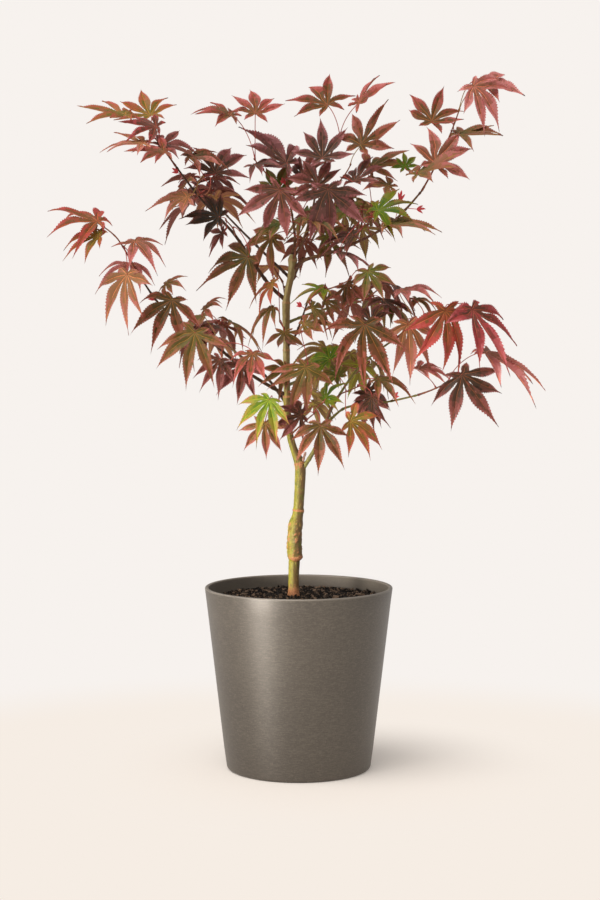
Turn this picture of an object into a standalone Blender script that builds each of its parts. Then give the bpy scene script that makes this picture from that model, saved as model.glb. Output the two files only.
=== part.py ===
"""A young grafted Japanese maple in a plain tapered pot. Blender 4.5, metres, +Z up.

The origin is the middle of the pot's flat underside, and the front of the tree faces -Y. Sizes in the
tables are millimetres. Limbs are tapering tubes. Each mass of foliage is one solid: a stem that forks
into twigs, and leaves whose stalks leave the nearest bud of those twigs.
"""

import itertools
import math
import random
from collections import namedtuple

import bmesh
import bpy
from mathutils import Matrix, Vector
from mathutils.bvhtree import BVHTree

MM = 0.001
GAP = 0.3  # clear distance between neighbouring pieces

# Pot and compost
POT_HEIGHT = 214.0
RIM_RADIUS = 110.0
BASE_RADIUS = 85.0
POT_WALL = 4.5
POT_FLOOR = 6.0
RIM_ROUND = 1.6
BASE_ROUND = 4.0
SOIL_DROP = 11.5  # from the rim down to the compost
POT_STEPS = 40

# Trunk: each station is its height, its offset to the right, and its radius
SOIL_TOP = POT_HEIGHT - SOIL_DROP
TRUNK_FOOT = SOIL_TOP + GAP
TRUNK_STATIONS = (
    (0.0, -6.1, 7.6),
    (5.0, -6.1, 6.4),
    (26.0, -5.8, 6.3),
    (42.0, -5.2, 6.6),
    (47.0, -4.6, 8.6),
    (58.0, -5.2, 8.9),
    (72.0, -5.0, 8.4),
    (86.0, -3.2, 8.2),
    (93.0, -1.6, 6.6),
    (98.0, -0.6, 6.2),
    (100.5, -0.4, 7.0),
    (103.0, -0.2, 6.0),
    (125.0, 1.2, 6.1),
    (149.0, 2.2, 6.4),
    (158.0, 0.6, 6.0),
    (172.0, -5.6, 4.3),
    (187.0, -10.0, 4.0),
    (212.0, -12.8, 3.9),
    (233.0, -13.6, 4.9),
    (240.0, -13.8, 3.8),
    (287.0, -14.3, 4.1),
    (294.0, -14.4, 3.7),
    (342.0, -14.7, 4.7),
    (350.0, -14.0, 3.9),
    (371.0, -9.4, 3.9),
    (384.0, -7.6, 4.4),
    (393.0, -7.0, 5.6),
    (399.0, -6.8, 3.4),
)
TRUNK_SIDES = 10
TRUNK_SWAY = 2.0  # how far the trunk wanders to the front and back
STUB = ((3.0, -1.0, 356.0), (8.0, -2.5, 372.0))  # a short dead spur in the lower fork
STUB_RADII = (1.7, 1.1)

# Boughs: what each leaves, how far along it, the points it passes through, its foot and tip radius
BOUGHS = {
    "bough_right_low": ("trunk", 0.362, ((17, -4, 372), (30, -9, 400), (36, -12, 420)), 2.7, 1.9),
    "bough_right_outer": (
        "bough_right_low", 0.78, ((52, -17, 424), (73, -22, 428), (104, -32, 432), (136, -44, 440)), 1.5, 1.0,
    ),
    "bough_right_mid": (
        "bough_right_low", 1.0, ((54, -13, 450), (72, -20, 474), (92, -28, 491), (112, -36, 505)), 1.6, 1.1,
    ),
    "bough_left_low": (
        "trunk", 0.59,
        ((-61, -12, 466), (-96, -22, 497), (-138, -35, 523), (-165, -42, 551), (-184, -48, 582)), 2.2, 1.0,
    ),
    "bough_left_high": (
        "trunk", 0.865,
        ((-34, 3, 566), (-56, 6, 597), (-76, 8, 627), (-113, 2, 665), (-142, -6, 703)), 2.3, 1.1,
    ),
    "bough_right_high": (
        "trunk", 0.955,
        ((8, -5, 596), (40, -14, 604), (82, -22, 622), (112, -30, 641), (140, -38, 672)), 2.3, 1.1,
    ),
    "bough_top_left": ("trunk", 1.0, ((-4, 6, 622), (-9, 9, 655), (-12, 8, 680)), 1.7, 1.1),
    "bough_top_mid": (
        "trunk", 0.985, ((4, -2, 615), (15, -2, 648), (22, -1, 684), (30, -7, 706)), 1.6, 0.9,
    ),
    "bough_centre": ("trunk", 0.73, ((-4, -10, 507), (4, -20, 528), (10, -28, 546)), 1.5, 1.0),
    "bough_back_low": ("trunk", 0.62, ((0, 28, 455), (18, 66, 468), (38, 112, 472)), 1.9, 1.1),
    "bough_back_left": ("trunk", 0.565, ((-40, 14, 462), (-70, 46, 484), (-94, 84, 502)), 1.8, 1.0),
    "bough_back_mid": ("trunk", 0.80, ((10, 26, 532), (42, 64, 542), (70, 106, 548)), 1.8, 1.0),
    "bough_back_high": ("trunk", 0.90, ((-2, 26, 585), (14, 66, 618), (28, 112, 646)), 1.9, 1.1),
    "bough_back_upper_left": ("trunk", 0.93, ((-32, 30, 596), (-70, 66, 634), (-102, 96, 668)), 1.8, 1.0),
}
BOUGH_SIDES = 6
TWIG_SIDES = 3
SPAN_STEPS = 2  # steps of a limb's curve in each of its spans
START_STEP = 0.05  # a limb's foot moves out of its parent by this step until its rim is clear
START_SAMPLES = 12

# Leaf: the angle of each lobe from the middle one, and its length as a share of the middle one's
LOBES = ((-122, 0.36), (-78, 0.74), (-38, 0.94), (0, 1.0), (38, 0.94), (78, 0.74), (122, 0.36))
LEAST_FULL_LOBE = 0.5  # shorter lobes are plain points
LOBE_WIDEST = 0.45  # how far out a lobe is widest
LOBE_HALF_WIDTH = 0.105
SINUS_DEPTH = 0.17  # how far out the cuts between lobes stop
STALK_NOTCH = 0.05
LEAF_DROOP = 0.10  # how far the tips curl back from the upper face
LEAF_SAG = 0.12  # how far the tips hang below the hub
LEAF_FOLD = 0.030  # how far a lobe's edges rise above its midrib
LEAF_THICKNESS = 1.2
LAST_BUD = 0.96  # how far along a twig its last bud is
BUD_SPACING = 16.0
TWIG_RADIUS = (0.95, 0.6)
STALK_RADIUS = (0.55, 0.5)
STALK_SHORT_OF_HUB = 1.0  # a stalk ends inside the blade, this far before its hub
LEAF_CLEARANCE = 0.4  # how far a leaf and its stalk stay off other pieces
# The steps by which a leaf that would touch a limb or another mass is moved to the front or back
NUDGES = (0, -5, 5, -10, 10, -16, 16, -24, 24)

# One leaf: the bud its stalk leaves, the hub of its blade, the blade's axes, its reach and its tint
Leaf = namedtuple("Leaf", "bud hub axes reach tint")

POT_COLOUR = (0.09, 0.08, 0.07)
SOIL_COLOUR = (0.03, 0.02, 0.015)
BARK_GREEN = (0.25, 0.27, 0.08)
BARK_BROWN = (0.12, 0.09, 0.05)
BARK_RED = (0.20, 0.05, 0.04)

# Autumn tints of the blades
TINTS = {
    "scarlet": (0.50, 0.06, 0.04),
    "crimson": (0.36, 0.04, 0.05),
    "red": (0.33, 0.06, 0.04),
    "rose": (0.36, 0.10, 0.09),
    "salmon": (0.42, 0.16, 0.10),
    "russet": (0.24, 0.07, 0.04),
    "amber": (0.42, 0.14, 0.03),
    "bronze": (0.20, 0.09, 0.04),
    "maroon": (0.12, 0.04, 0.04),
    "plum": (0.16, 0.05, 0.06),
    "black": (0.05, 0.02, 0.015),
    "olive": (0.17, 0.12, 0.03),
    "green": (0.10, 0.19, 0.02),
    "lime": (0.32, 0.42, 0.05),
}

# Foliage: the limb each mass leaves, how far along it, its twigs, and its leaves. A leaf is the place of
# its hub, the way its middle lobe points (clock: up from +X seen from the front, lean: towards the
# front), the turn of the blade about that lobe, the lobe's length, and its autumn tint.
FOLIAGE = {
    "foliage_left_tip": ("bough_left_low", 1.0, (((-190, -50, 592), (-205, -56, 618), (-221, -60, 631)),), (
        (-227, -55, 637, 166, 0, -66, 64, "scarlet"),
        (-224, -72, 619, 168, -13, -47, 46, "olive"),
        (-185, -50, 615, -46, 51, 37, 42, "rose"),
        (-192, -30, 590, -137, 59, -43, 46, "red"),
        (-192, -75, 576, -101, 4, -36, 54, "salmon"),
    )),
    "foliage_left_outer": ("bough_left_low", 0.84, (((-146, -50, 548),),), (
        (-143, -62, 548, -117, 11, -5, 52, "maroon"),
        (-152, -40, 566, 15, 30, 60, 30, "olive"),
    )),
    "foliage_left_inner": ("bough_left_low", 0.50, (((-86, -42, 492), (-92, -66, 502)),), (
        (-116, -88, 511, -101, 8, -2, 56, "bronze"),
        (-90, -50, 480, -124, 17, -11, 36, "maroon"),
        (-64, -42, 474, -100, 16, -3, 42, "bronze"),
        (-52, -68, 488, -97, 45, -5, 38, "amber"),
        (-108, -30, 538, 45, 10, 70, 32, "maroon"),
    )),
    "foliage_trunk_left_low": ("trunk", 0.545, (((-26, -30, 424), (-30, -60, 428)),), (
        (-33, -92, 436, -117, 16, -8, 44, "lime"),
        (-38, -66, 409, -92, -25, 0, 42, "bronze"),
    )),
    "foliage_trunk_left_mid": ("trunk", 0.775, (((-22, -14, 524),),), (
        (-16, -34, 512, -70, -45, -15, 34, "bronze"),
        (-30, -28, 539, -150, 10, -65, 38, "bronze"),
        (-29, -32, 567, -155, -20, -60, 37, "bronze"),
    )),
    "foliage_front_low": ("trunk", 0.475, (((10, -34, 412), (18, -66, 420)),), (
        (24, -108, 408, -93, 14, -1, 48, "bronze"),
        (3, -62, 419, -165, 20, 20, 38, "maroon"),
        (31, -52, 436, 60, 20, 50, 34, "green"),
    )),
    "foliage_front_mid": ("trunk", 0.60, (((2, -24, 448), (12, -56, 466)),), (
        (8, -88, 473, -112, -10, 12, 50, "amber"),
        (35, -60, 481, 150, -35, -20, 42, "green"),
        (6, -70, 520, 15, 10, 55, 40, "bronze"),
        (-16, -60, 470, -150, 20, 30, 34, "bronze"),
    )),
    "foliage_right_low": ("bough_right_low", 0.50, (((42, -28, 436), (56, -38, 444), (70, -30, 450)),), (
        (58, -84, 412, -14, -12, 10, 44, "olive"),
        (78, -18, 443, -50, -20, 10, 44, "maroon"),
        (91, -42, 458, -12, 14, 66, 42, "bronze"),
        (46, -40, 462, 120, -10, 30, 34, "green"),
        (84, -40, 438, -95, -10, -40, 36, "maroon"),
    )),
    "foliage_right_tip_low": ("bough_right_outer", 1.0, (((152, -50, 446), (170, -60, 455)),), (
        (184, -72, 464, -58, -20, -20, 60, "maroon"),
        (213, -42, 488, -19, 0, 76, 74, "plum"),
        (136, -50, 471, -3, 0, 75, 40, "olive"),
    )),
    "foliage_right_red": ("bough_right_mid", 1.0, (((126, -42, 518), (146, -52, 532), (176, -54, 540)),), (
        (165, -72, 536, -84, 2, 30, 64, "scarlet"),
        (196, -50, 537, -57, 10, 50, 70, "crimson"),
        (123, -62, 520, -82, 3, 26, 54, "rose"),
        (118, -36, 559, 16, 0, 76, 46, "olive"),
        (134, -20, 550, -15, 10, 70, 30, "olive"),
    )),
    "foliage_right_front": ("bough_right_mid", 0.70, (((86, -48, 500), (80, -66, 510)),), (
        (74, -92, 520, -101, 2, -11, 62, "russet"),
        (83, -50, 521, 110, -35, 30, 46, "maroon"),
    )),
    "foliage_centre": ("bough_centre", 1.0, (((20, -36, 556), (44, -44, 564), (60, -56, 572)),), (
        (78, -72, 580, -58, 26, 15, 38, "olive"),
        (54, -38, 566, -60, -50, 10, 42, "maroon"),
        (29, -48, 560, 178, 15, -70, 36, "green"),
        (14, -62, 540, -30, -20, 60, 36, "bronze"),
        (30, -20, 548, -10, -30, 40, 40, "bronze"),
    )),
    "foliage_upper_left_tip": ("bough_left_high", 1.0, (((-150, -10, 714), (-160, -10, 728), (-172, -8, 742)),), (
        (-198, -20, 760, 172, 0, -68, 56, "amber"),
        (-173, 20, 764, 120, -42, -21, 48, "amber"),
        (-162, -32, 745, 176, 0, -56, 42, "crimson"),
        (-176, -50, 725, 176, 0, -68, 48, "olive"),
        (-157, -30, 724, 10, -18, 60, 48, "maroon"),
        (-151, -52, 714, 176, 0, -62, 44, "red"),
    )),
    "foliage_upper_left_mid": ("bough_left_high", 0.78, (((-118, -8, 682), (-108, -14, 690)),), (
        (-96, -4, 695, 75, -34, 8, 52, "plum"),
        (-127, -40, 664, -174, -2, -56, 44, "rose"),
        (-125, -20, 712, 6, -11, 61, 46, "russet"),
    )),
    "foliage_upper_left_inner": ("bough_left_high", 0.46, (((-76, -14, 632), (-84, -24, 640)),), (
        (-91, -34, 643, 165, -9, -31, 46, "black"),
        (-58, -36, 597, -150, 0, -34, 60, "olive"),
        (-86, -20, 626, -150, -20, -60, 30, "maroon"),
    )),
    "foliage_top_left": ("bough_top_left", 0.72, (
        ((-22, -6, 676), (-44, -4, 702), (-52, 0, 712)),
    ), (
        (-50, 0, 764, 87, -38, 2, 46, "red"),
        (-79, 20, 764, 158, 0, -70, 52, "red"),
        (-50, -22, 703, 0, 30, 70, 36, "rose"),
    )),
    "foliage_top_centre": ("bough_top_left", 1.0, (((-14, 4, 690),),), (
        (-14, 0, 708, 142, 0, -56, 74, "plum"),
        (-25, 16, 675, 73, -33, 9, 44, "olive"),
        (4, 20, 694, 60, -15, 40, 44, "maroon"),
    )),
    "foliage_top_mid": ("bough_top_mid", 1.0, (((40, -8, 722), (48, -10, 738)),), (
        (33, -4, 773, 131, -31, -24, 52, "red"),
        (69, -20, 774, 46, 0, 66, 50, "red"),
        (27, -22, 711, 88, -20, 1, 48, "plum"),
    )),
    "foliage_top_right": ("bough_top_mid", 0.62, (((34, -14, 672), (52, -24, 690), (60, -26, 704)),), (
        (71, -30, 725, 57, -10, 48, 62, "russet"),
        (64, -32, 684, 50, -30, 50, 46, "maroon"),
        (22, -26, 679, 115, -29, -13, 46, "olive"),
    )),
    "foliage_crown_front": ("trunk", 0.975, (((0, -22, 622), (4, -34, 650)), ), (
        (-21, -46, 672, -116, -8, -5, 58, "rose"),
        (33, -62, 672, -82, -20, 0, 58, "plum"),
        (12, -46, 640, -10, -10, 70, 46, "bronze"),
        (-20, -34, 636, -172, -20, -66, 46, "olive"),
        (-30, -8, 622, -130, -10, -40, 50, "bronze"),
        (32, -10, 622, -50, -10, 40, 48, "olive"),
    )),
    "foliage_crown_right": ("bough_right_high", 0.55, (((78, -34, 634), (84, -46, 642)),), (
        (89, -62, 648, 22, -10, 52, 50, "green"),
        (101, -50, 632, 4, 0, 74, 58, "bronze"),
        (62, -44, 622, -170, -10, -64, 46, "maroon"),
        (60, -30, 652, 172, -20, -60, 44, "olive"),
        (48, -50, 602, -20, 0, 78, 40, "plum"),
        (84, -24, 701, 34, -10, 56, 54, "olive"),
        (104, -40, 678, 160, 0, -66, 44, "green"),
    )),
    "foliage_right_top": ("bough_right_high", 1.0, (
        ((150, -40, 690), (168, -44, 726), (182, -50, 764)), ((150, -48, 704),),
    ), (
        (196, -64, 787, -38, 5, 25, 52, "crimson"),
        (210, -46, 793, 12, -20, 56, 52, "crimson"),
        (152, -30, 751, 76, -27, 6, 50, "red"),
        (155, -60, 701, 63, -13, 6, 56, "amber"),
        (182, -34, 738, 0, 0, 74, 62, "olive"),
        (134, -62, 689, 26, 0, 72, 60, "olive"),
        (122, -20, 700, 92, -20, -1, 24, "green"),
    )),
}

# Foliage that no one place calls for: the limb each mass leaves, how far along it, the heading of its
# stem (degrees from +X, 90 to the back) and its rise, its number of forks, the box it keeps to (left,
# right, front, back, low, high), its tints, and its seed
SHADE_FOLIAGE = {
    "foliage_back_low": (
        "bough_back_low", 1.0, 62, 4, 3, (-20, 125, 25, 240, 376, 508), ("bronze", "olive"), 3,
    ),
    "foliage_back_left": (
        "bough_back_left", 1.0, 130, 15, 3, (-160, -20, 15, 230, 436, 542), ("maroon", "bronze"), 5,
    ),
    "foliage_back_mid": (
        "bough_back_mid", 1.0, 55, 8, 3, (-5, 155, 20, 235, 492, 596), ("olive", "maroon"), 8,
    ),
    "foliage_back_high": (
        "bough_back_high", 1.0, 75, 25, 3, (-60, 125, 25, 245, 596, 728), ("maroon", "olive"), 13,
    ),
    "foliage_back_upper_left": (
        "bough_back_upper_left", 1.0, 125, 20, 3, (-178, -52, 20, 225, 622, 740), ("plum", "bronze"), 21,
    ),
    "foliage_shade_centre": (
        "trunk", 0.985, 25, 55, 3, (-75, 105, -45, 60, 566, 680), ("olive", "maroon"), 34,
    ),
    "foliage_shade_right": (
        "bough_right_high", 0.36, 40, 45, 2, (20, 150, -45, 60, 598, 668), ("bronze", "olive"), 55,
    ),
    "foliage_shade_back": (
        "trunk", 0.86, 100, 45, 2, (-80, 80, 5, 130, 572, 680), ("bronze", "maroon"), 144,
    ),
    "foliage_shade_back_low": (
        "trunk", 0.52, 70, 15, 2, (-22, 85, 8, 105, 392, 490), ("olive", "bronze"), 233,
    ),
    "foliage_shade_low": (
        "bough_right_mid", 0.30, 60, 30, 2, (10, 120, -30, 60, 425, 500), ("green", "maroon"), 89,
    ),
}
SHADE_STEM = 34.0  # length of each mass's stem, and of its forks as a share of it
SHADE_FORK = 0.85
SHADE_FORK_TURN = (35, 70)
SHADE_STALK = (16, 30)
SHADE_REACH = (44, 56)
SHADE_TRIES = 20  # places tried for each leaf before it is left out


def smooth_path(points, steps):
    """The points of a smooth curve through the given ones, with this many steps in each span."""
    ends = [points[0] * 2 - points[1], *points, points[-1] * 2 - points[-2]]
    path = []
    for index in range(1, len(ends) - 2):
        before, start, finish, after = ends[index - 1 : index + 3]
        for step in range(steps):
            t = step / steps
            path.append(
                0.5
                * (
                    2 * start
                    + (finish - before) * t
                    + (2 * before - 5 * start + 4 * finish - after) * t * t
                    + (3 * start - before - 3 * finish + after) * t * t * t
                )
            )
    return path + [points[-1]]


def length_of(path):
    return sum((b - a).length for a, b in zip(path, path[1:]))


def point_along(path, share):
    """The point this share of the way along a path."""
    left = share * length_of(path)
    for a, b in zip(path, path[1:]):
        length = (b - a).length
        if left <= length or b is path[-1]:
            return a.lerp(b, min(left / length, 1.0))
        left -= length


def tube(mesh, path, radii, sides, level_foot=False):
    """Adds a closed tube along the path. A level foot is cut square to the Z axis."""
    across = Vector((0, 1, 0))
    rings = []
    for index, (point, radius) in enumerate(zip(path, radii)):
        after = path[min(index + 1, len(path) - 1)]
        before = path[max(index - 1, 0)]
        along = (after - before).normalized()
        if level_foot and index == 0:
            along = Vector((0, 0, 1))
        across = (across - along * across.dot(along)).normalized()
        side = along.cross(across)
        ring = []
        for corner in range(sides):
            angle = math.tau * corner / sides
            spot = point + (across * math.cos(angle) + side * math.sin(angle)) * radius
            ring.append(mesh.verts.new(spot))
        rings.append(ring)
    for low, high in zip(rings, rings[1:]):
        for corner in range(sides):
            following = (corner + 1) % sides
            mesh.faces.new((low[corner], low[following], high[following], high[corner]))
    mesh.faces.new(rings[0][::-1])
    mesh.faces.new(rings[-1])


def taper(first, last, count):
    return [first + (last - first) * index / (count - 1) for index in range(count)]


def leaf_axes(clock, lean, turn):
    """The way the middle lobe points, the way across the blade, and the way its upper face looks."""
    clock, lean, turn = (math.radians(angle) for angle in (clock, lean, turn))
    along = Vector((math.cos(clock) * math.cos(lean), -math.sin(lean), math.sin(clock) * math.cos(lean)))
    facing = Vector((0, -1, 0))
    facing = (facing - along * facing.dot(along)).normalized()
    facing = facing * math.cos(turn) + facing.cross(along) * math.sin(turn)
    return along, facing.cross(along), facing


def leaf(mesh, hub, axes, reach, thickness):
    """Adds one closed blade: a folded, drooping lobe for each row of LOBES, thickest at the hub."""
    along, across, facing = axes

    def spot(angle, distance, rise=0.0):
        angle = math.radians(angle)
        bend = distance * distance * reach
        return mesh.verts.new(
            hub
            + (along * math.cos(angle) + across * math.sin(angle)) * distance * reach
            + facing * (rise * reach - LEAF_DROOP * bend)
            - Vector((0, 0, LEAF_SAG * bend))
        )

    rim = [spot(180, STALK_NOTCH)]
    for index, (angle, length) in enumerate(LOBES):
        spread = math.degrees(math.atan2(LOBE_HALF_WIDTH, LOBE_WIDEST))
        widest = math.hypot(LOBE_HALF_WIDTH, LOBE_WIDEST) * length
        if length > LEAST_FULL_LOBE:
            rim.append(spot(angle - spread, widest, LEAF_FOLD * length))
        rim.append(spot(angle, length))
        if length > LEAST_FULL_LOBE:
            rim.append(spot(angle + spread, widest, LEAF_FOLD * length))
        if index + 1 < len(LOBES):
            rim.append(spot((angle + LOBES[index + 1][0]) / 2, SINUS_DEPTH))
    upper = mesh.verts.new(hub + facing * thickness / 2)
    lower = mesh.verts.new(hub - facing * thickness / 2)
    for first, second in zip(rim, rim[1:] + rim[:1]):
        mesh.faces.new((upper, first, second))
        mesh.faces.new((lower, second, first))


def finish_mesh(mesh, name):
    """Turns millimetres into a metre-sized object's mesh with its faces pointing out."""
    bmesh.ops.scale(mesh, vec=(MM, MM, MM), verts=mesh.verts)
    bmesh.ops.recalc_face_normals(mesh, faces=mesh.faces)
    data = bpy.data.meshes.new(name)
    mesh.to_mesh(data)
    mesh.free()
    return data


def finish_of(name, colour, roughness):
    """The Principled material of this name, made when it is first asked for."""
    material = bpy.data.materials.get(name)
    if material is None:
        material = bpy.data.materials.new(name)
        material.use_nodes = True
        shader = material.node_tree.nodes["Principled BSDF"]
        shader.inputs["Base Color"].default_value = (*colour, 1.0)
        shader.inputs["Roughness"].default_value = roughness
    return material


def new_object(name, data, material):
    data.materials.append(material)
    return bpy.data.objects.new(name, data)


def stand(made):
    """Puts an object in the scene, where it becomes a piece of the plant."""
    bpy.context.scene.collection.objects.link(made)
    return made


def keep_largest_shell(data):
    """Drops loose scraps, and fills hollows that a union sealed, by deleting all but the outer shell."""
    mesh = bmesh.new()
    mesh.from_mesh(data)
    left = set(mesh.faces)
    shells = []
    while left:
        shell = {left.pop()}
        edge_of_shell = list(shell)
        while edge_of_shell:
            face = edge_of_shell.pop()
            near = {other for edge in face.edges for other in edge.link_faces} & left
            left -= near
            shell |= near
            edge_of_shell.extend(near)
        shells.append(shell)
    shells.sort(key=len)
    spare = {corner for shell in shells[:-1] for face in shell for corner in face.verts}
    bmesh.ops.delete(mesh, geom=list(spare), context="VERTS")
    mesh.to_mesh(data)
    mesh.free()


def fuse(base, others):
    """Joins closed solids into the base object with one Boolean union, and removes them."""
    group = bpy.data.collections.new("fusing")
    for other in others:
        group.objects.link(other)
    union = base.modifiers.new("fuse", "BOOLEAN")
    union.operation = "UNION"
    union.operand_type = "COLLECTION"
    union.collection = group
    union.solver = "EXACT"
    union.material_mode = "TRANSFER"
    graph = bpy.context.evaluated_depsgraph_get()
    joined = bpy.data.meshes.new_from_object(base.evaluated_get(graph))
    keep_largest_shell(joined)
    base.modifiers.clear()
    base.data = joined
    for other in others:
        bpy.data.objects.remove(other)
    bpy.data.collections.remove(group)


def tree_of(made):
    """A search tree, in millimetres, of an object's faces."""
    spots = [vertex.co / MM for vertex in made.data.vertices]
    return BVHTree.FromPolygons(spots, [tuple(face.vertices) for face in made.data.polygons])


def clearance(tree, spot):
    """How far a spot lies outside a closed shape, or less than nothing inside it."""
    surface, normal, _, distance = tree.find_nearest(spot)
    return math.copysign(distance, (spot - surface).dot(normal))


def limb_start(parent, share, target, radius):
    """Where a limb aimed at the target, out of the middle of its parent, first clears the bark by the gap."""
    start = point_along(parent["path"], share)
    way = (target - start).normalized()
    across = way.orthogonal().normalized() * radius
    cap = [Vector()]
    for step in range(START_SAMPLES):
        cap.append(Matrix.Rotation(math.tau * step / START_SAMPLES, 3, way) @ across)
    while min(clearance(parent["tree"], start + spot) for spot in cap) < GAP:
        start = start + way * START_STEP
    return start


def tube_object(name, path, radii, sides, material, level_foot=False):
    mesh = bmesh.new()
    tube(mesh, path, radii, sides, level_foot)
    data = finish_mesh(mesh, name)
    data.shade_smooth()
    return new_object(name, data, material)


def turned(name, profile, material):
    """A solid of revolution from a profile that runs up its inner side and down its outer side."""
    data = bpy.data.meshes.new(name)
    spots = [(radius * MM, 0, height * MM) for radius, height in profile]
    data.from_pydata(spots, [(index, index + 1) for index in range(len(spots) - 1)], [])
    made = stand(new_object(name, data, material))
    screw = made.modifiers.new("turn", "SCREW")
    screw.steps = POT_STEPS
    screw.render_steps = POT_STEPS
    screw.use_merge_vertices = True
    screw.merge_threshold = 0.00001


def arc(centre, radius, first, last, steps):
    """Profile points round part of a circle, from one angle to the other."""
    angles = (math.radians(angle) for angle in taper(first, last, steps + 1))
    return [(centre[0] + radius * math.cos(a), centre[1] + radius * math.sin(a)) for a in angles]


def make_pot():
    slope = (RIM_RADIUS - BASE_RADIUS) / POT_HEIGHT
    inner_foot = BASE_RADIUS - POT_WALL + slope * POT_FLOOR
    rim_inside = RIM_RADIUS - POT_WALL
    profile = [(0, POT_FLOOR), (inner_foot, POT_FLOOR)]
    profile += arc((rim_inside + RIM_ROUND, POT_HEIGHT - RIM_ROUND), RIM_ROUND, 180, 90, 2)
    profile += arc((RIM_RADIUS - RIM_ROUND, POT_HEIGHT - RIM_ROUND), RIM_ROUND, 90, 0, 2)
    profile += arc((BASE_RADIUS - BASE_ROUND, BASE_ROUND), BASE_ROUND, 0, -90, 3)
    profile += [(0, 0)]
    turned("pot", profile, finish_of("pot", POT_COLOUR, 0.5))


def make_soil():
    slope = (RIM_RADIUS - BASE_RADIUS) / POT_HEIGHT
    foot = BASE_RADIUS - POT_WALL + slope * POT_FLOOR - GAP
    low = POT_FLOOR + GAP
    edge = BASE_RADIUS - POT_WALL + slope * SOIL_TOP - GAP
    profile = [(0, SOIL_TOP), (edge * 0.6, SOIL_TOP), (edge, SOIL_TOP - 1.5), (foot, low), (0, low)]
    turned("soil", profile, finish_of("soil", SOIL_COLOUR, 0.95))


def make_trunk(limbs):
    path = []
    for height, right, _ in TRUNK_STATIONS:
        sway = TRUNK_SWAY * math.sin(math.pi * height / 190)
        path.append(Vector((right, sway, TRUNK_FOOT + height)))
    radii = [radius for _, _, radius in TRUNK_STATIONS]
    bark = finish_of("bark_green", BARK_GREEN, 0.6)
    trunk = stand(tube_object("trunk", path, radii, TRUNK_SIDES, bark, level_foot=True))
    stub = [Vector(point) for point in STUB]
    dead_bark = finish_of("bark_brown", BARK_BROWN, 0.7)
    fuse(trunk, [tube_object("stub", stub, STUB_RADII, BOUGH_SIDES, dead_bark)])
    limbs["trunk"] = {"path": path, "tree": tree_of(trunk)}


def make_boughs(limbs):
    bark = finish_of("bark_brown", BARK_BROWN, 0.7)
    for name, (parent, share, points, foot, tip) in BOUGHS.items():
        points = [Vector(point) for point in points]
        start = limb_start(limbs[parent], share, points[0], foot)
        path = smooth_path([start, *points], SPAN_STEPS)
        radii = taper(foot, tip, len(path))
        bough = stand(tube_object(name, path, radii, BOUGH_SIDES, bark))
        limbs[name] = {"path": path, "tree": tree_of(bough)}


def grow_twigs(limb, share, twigs):
    """The paths of a mass's twigs: the first is its stem, and the others fork from the stem."""
    paths = []
    for points in twigs:
        points = [Vector(point) for point in points]
        if paths:
            start = min(paths[0][1:], key=lambda spot: (spot - points[0]).length)
        else:
            start = limb_start(limb, share, points[0], TWIG_RADIUS[0])
        paths.append(smooth_path([start, *points], SPAN_STEPS))
    return paths


def buds_of(paths):
    """The places on the twigs that stalks leave: each tip, and then evenly back towards the foot."""
    buds = []
    for path in paths:
        length = length_of(path)
        for step in range(max(int(length / BUD_SPACING), 1)):
            buds.append(point_along(path, LAST_BUD - step * BUD_SPACING / length))
    return buds


def blade_tree(hub, axes, reach):
    mesh = bmesh.new()
    leaf(mesh, hub, axes, reach, LEAF_THICKNESS)
    tree = BVHTree.FromBMesh(mesh)
    mesh.free()
    return tree


def leaf_is_free(bud, hub, axes, reach, blocked):
    """Whether a slightly swollen leaf and stalk would touch nothing that stands already."""
    mesh = bmesh.new()
    leaf(mesh, hub, axes, reach, LEAF_THICKNESS + 2 * LEAF_CLEARANCE)
    swollen = [radius + LEAF_CLEARANCE for radius in STALK_RADIUS]
    tube(mesh, [bud, hub], swollen, TWIG_SIDES)
    tree = BVHTree.FromBMesh(mesh)
    mesh.free()
    return not any(tree.overlap(other) for other in blocked)


def heading_vector(heading, rise):
    heading, rise = math.radians(heading), math.radians(rise)
    return Vector((
        math.cos(heading) * math.cos(rise), math.sin(heading) * math.cos(rise), math.sin(rise),
    ))


def level_axes(heading, droop, roll):
    """The axes of a blade that points out level, then droops, with its upper face to the sky."""
    along = heading_vector(heading, -droop)
    facing = heading_vector(heading, 90 - droop)
    facing.rotate(Matrix.Rotation(math.radians(roll), 3, along))
    return along, facing.cross(along), facing


def fits_box(hub, axes, reach, box):
    """Whether the hub and the tips of the main lobes stay inside the mass's own space."""
    left, right, front, back, low, high = box
    spots = [hub]
    for angle, length in LOBES[1:-1]:
        angle = math.radians(angle)
        spots.append(hub + (axes[0] * math.cos(angle) + axes[1] * math.sin(angle)) * length * reach)
    return all(left <= x <= right and front <= y <= back and low <= z <= high for x, y, z in spots)


def place_leaves(leaves, buds, blocked):
    """The tabled leaves of a mass, each moved to the front or back until it touches nothing.

    A leaf that finds no place clear of its own neighbours may cross them, but never another piece.
    """
    placed = []
    neighbours = []
    for x, y, z, clock, lean, turn, reach, tint in leaves:
        axes = leaf_axes(clock, lean, turn)
        for obstacles, nudge in itertools.product((blocked + neighbours, blocked), NUDGES):
            hub = Vector((x, y + nudge, z))
            bud = min(buds, key=lambda spot: (spot - hub).length)
            if leaf_is_free(bud, hub, axes, reach, obstacles):
                placed.append(Leaf(bud, hub, axes, reach, tint))
                neighbours.append(blade_tree(hub, axes, reach))
                break
    return placed


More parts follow.
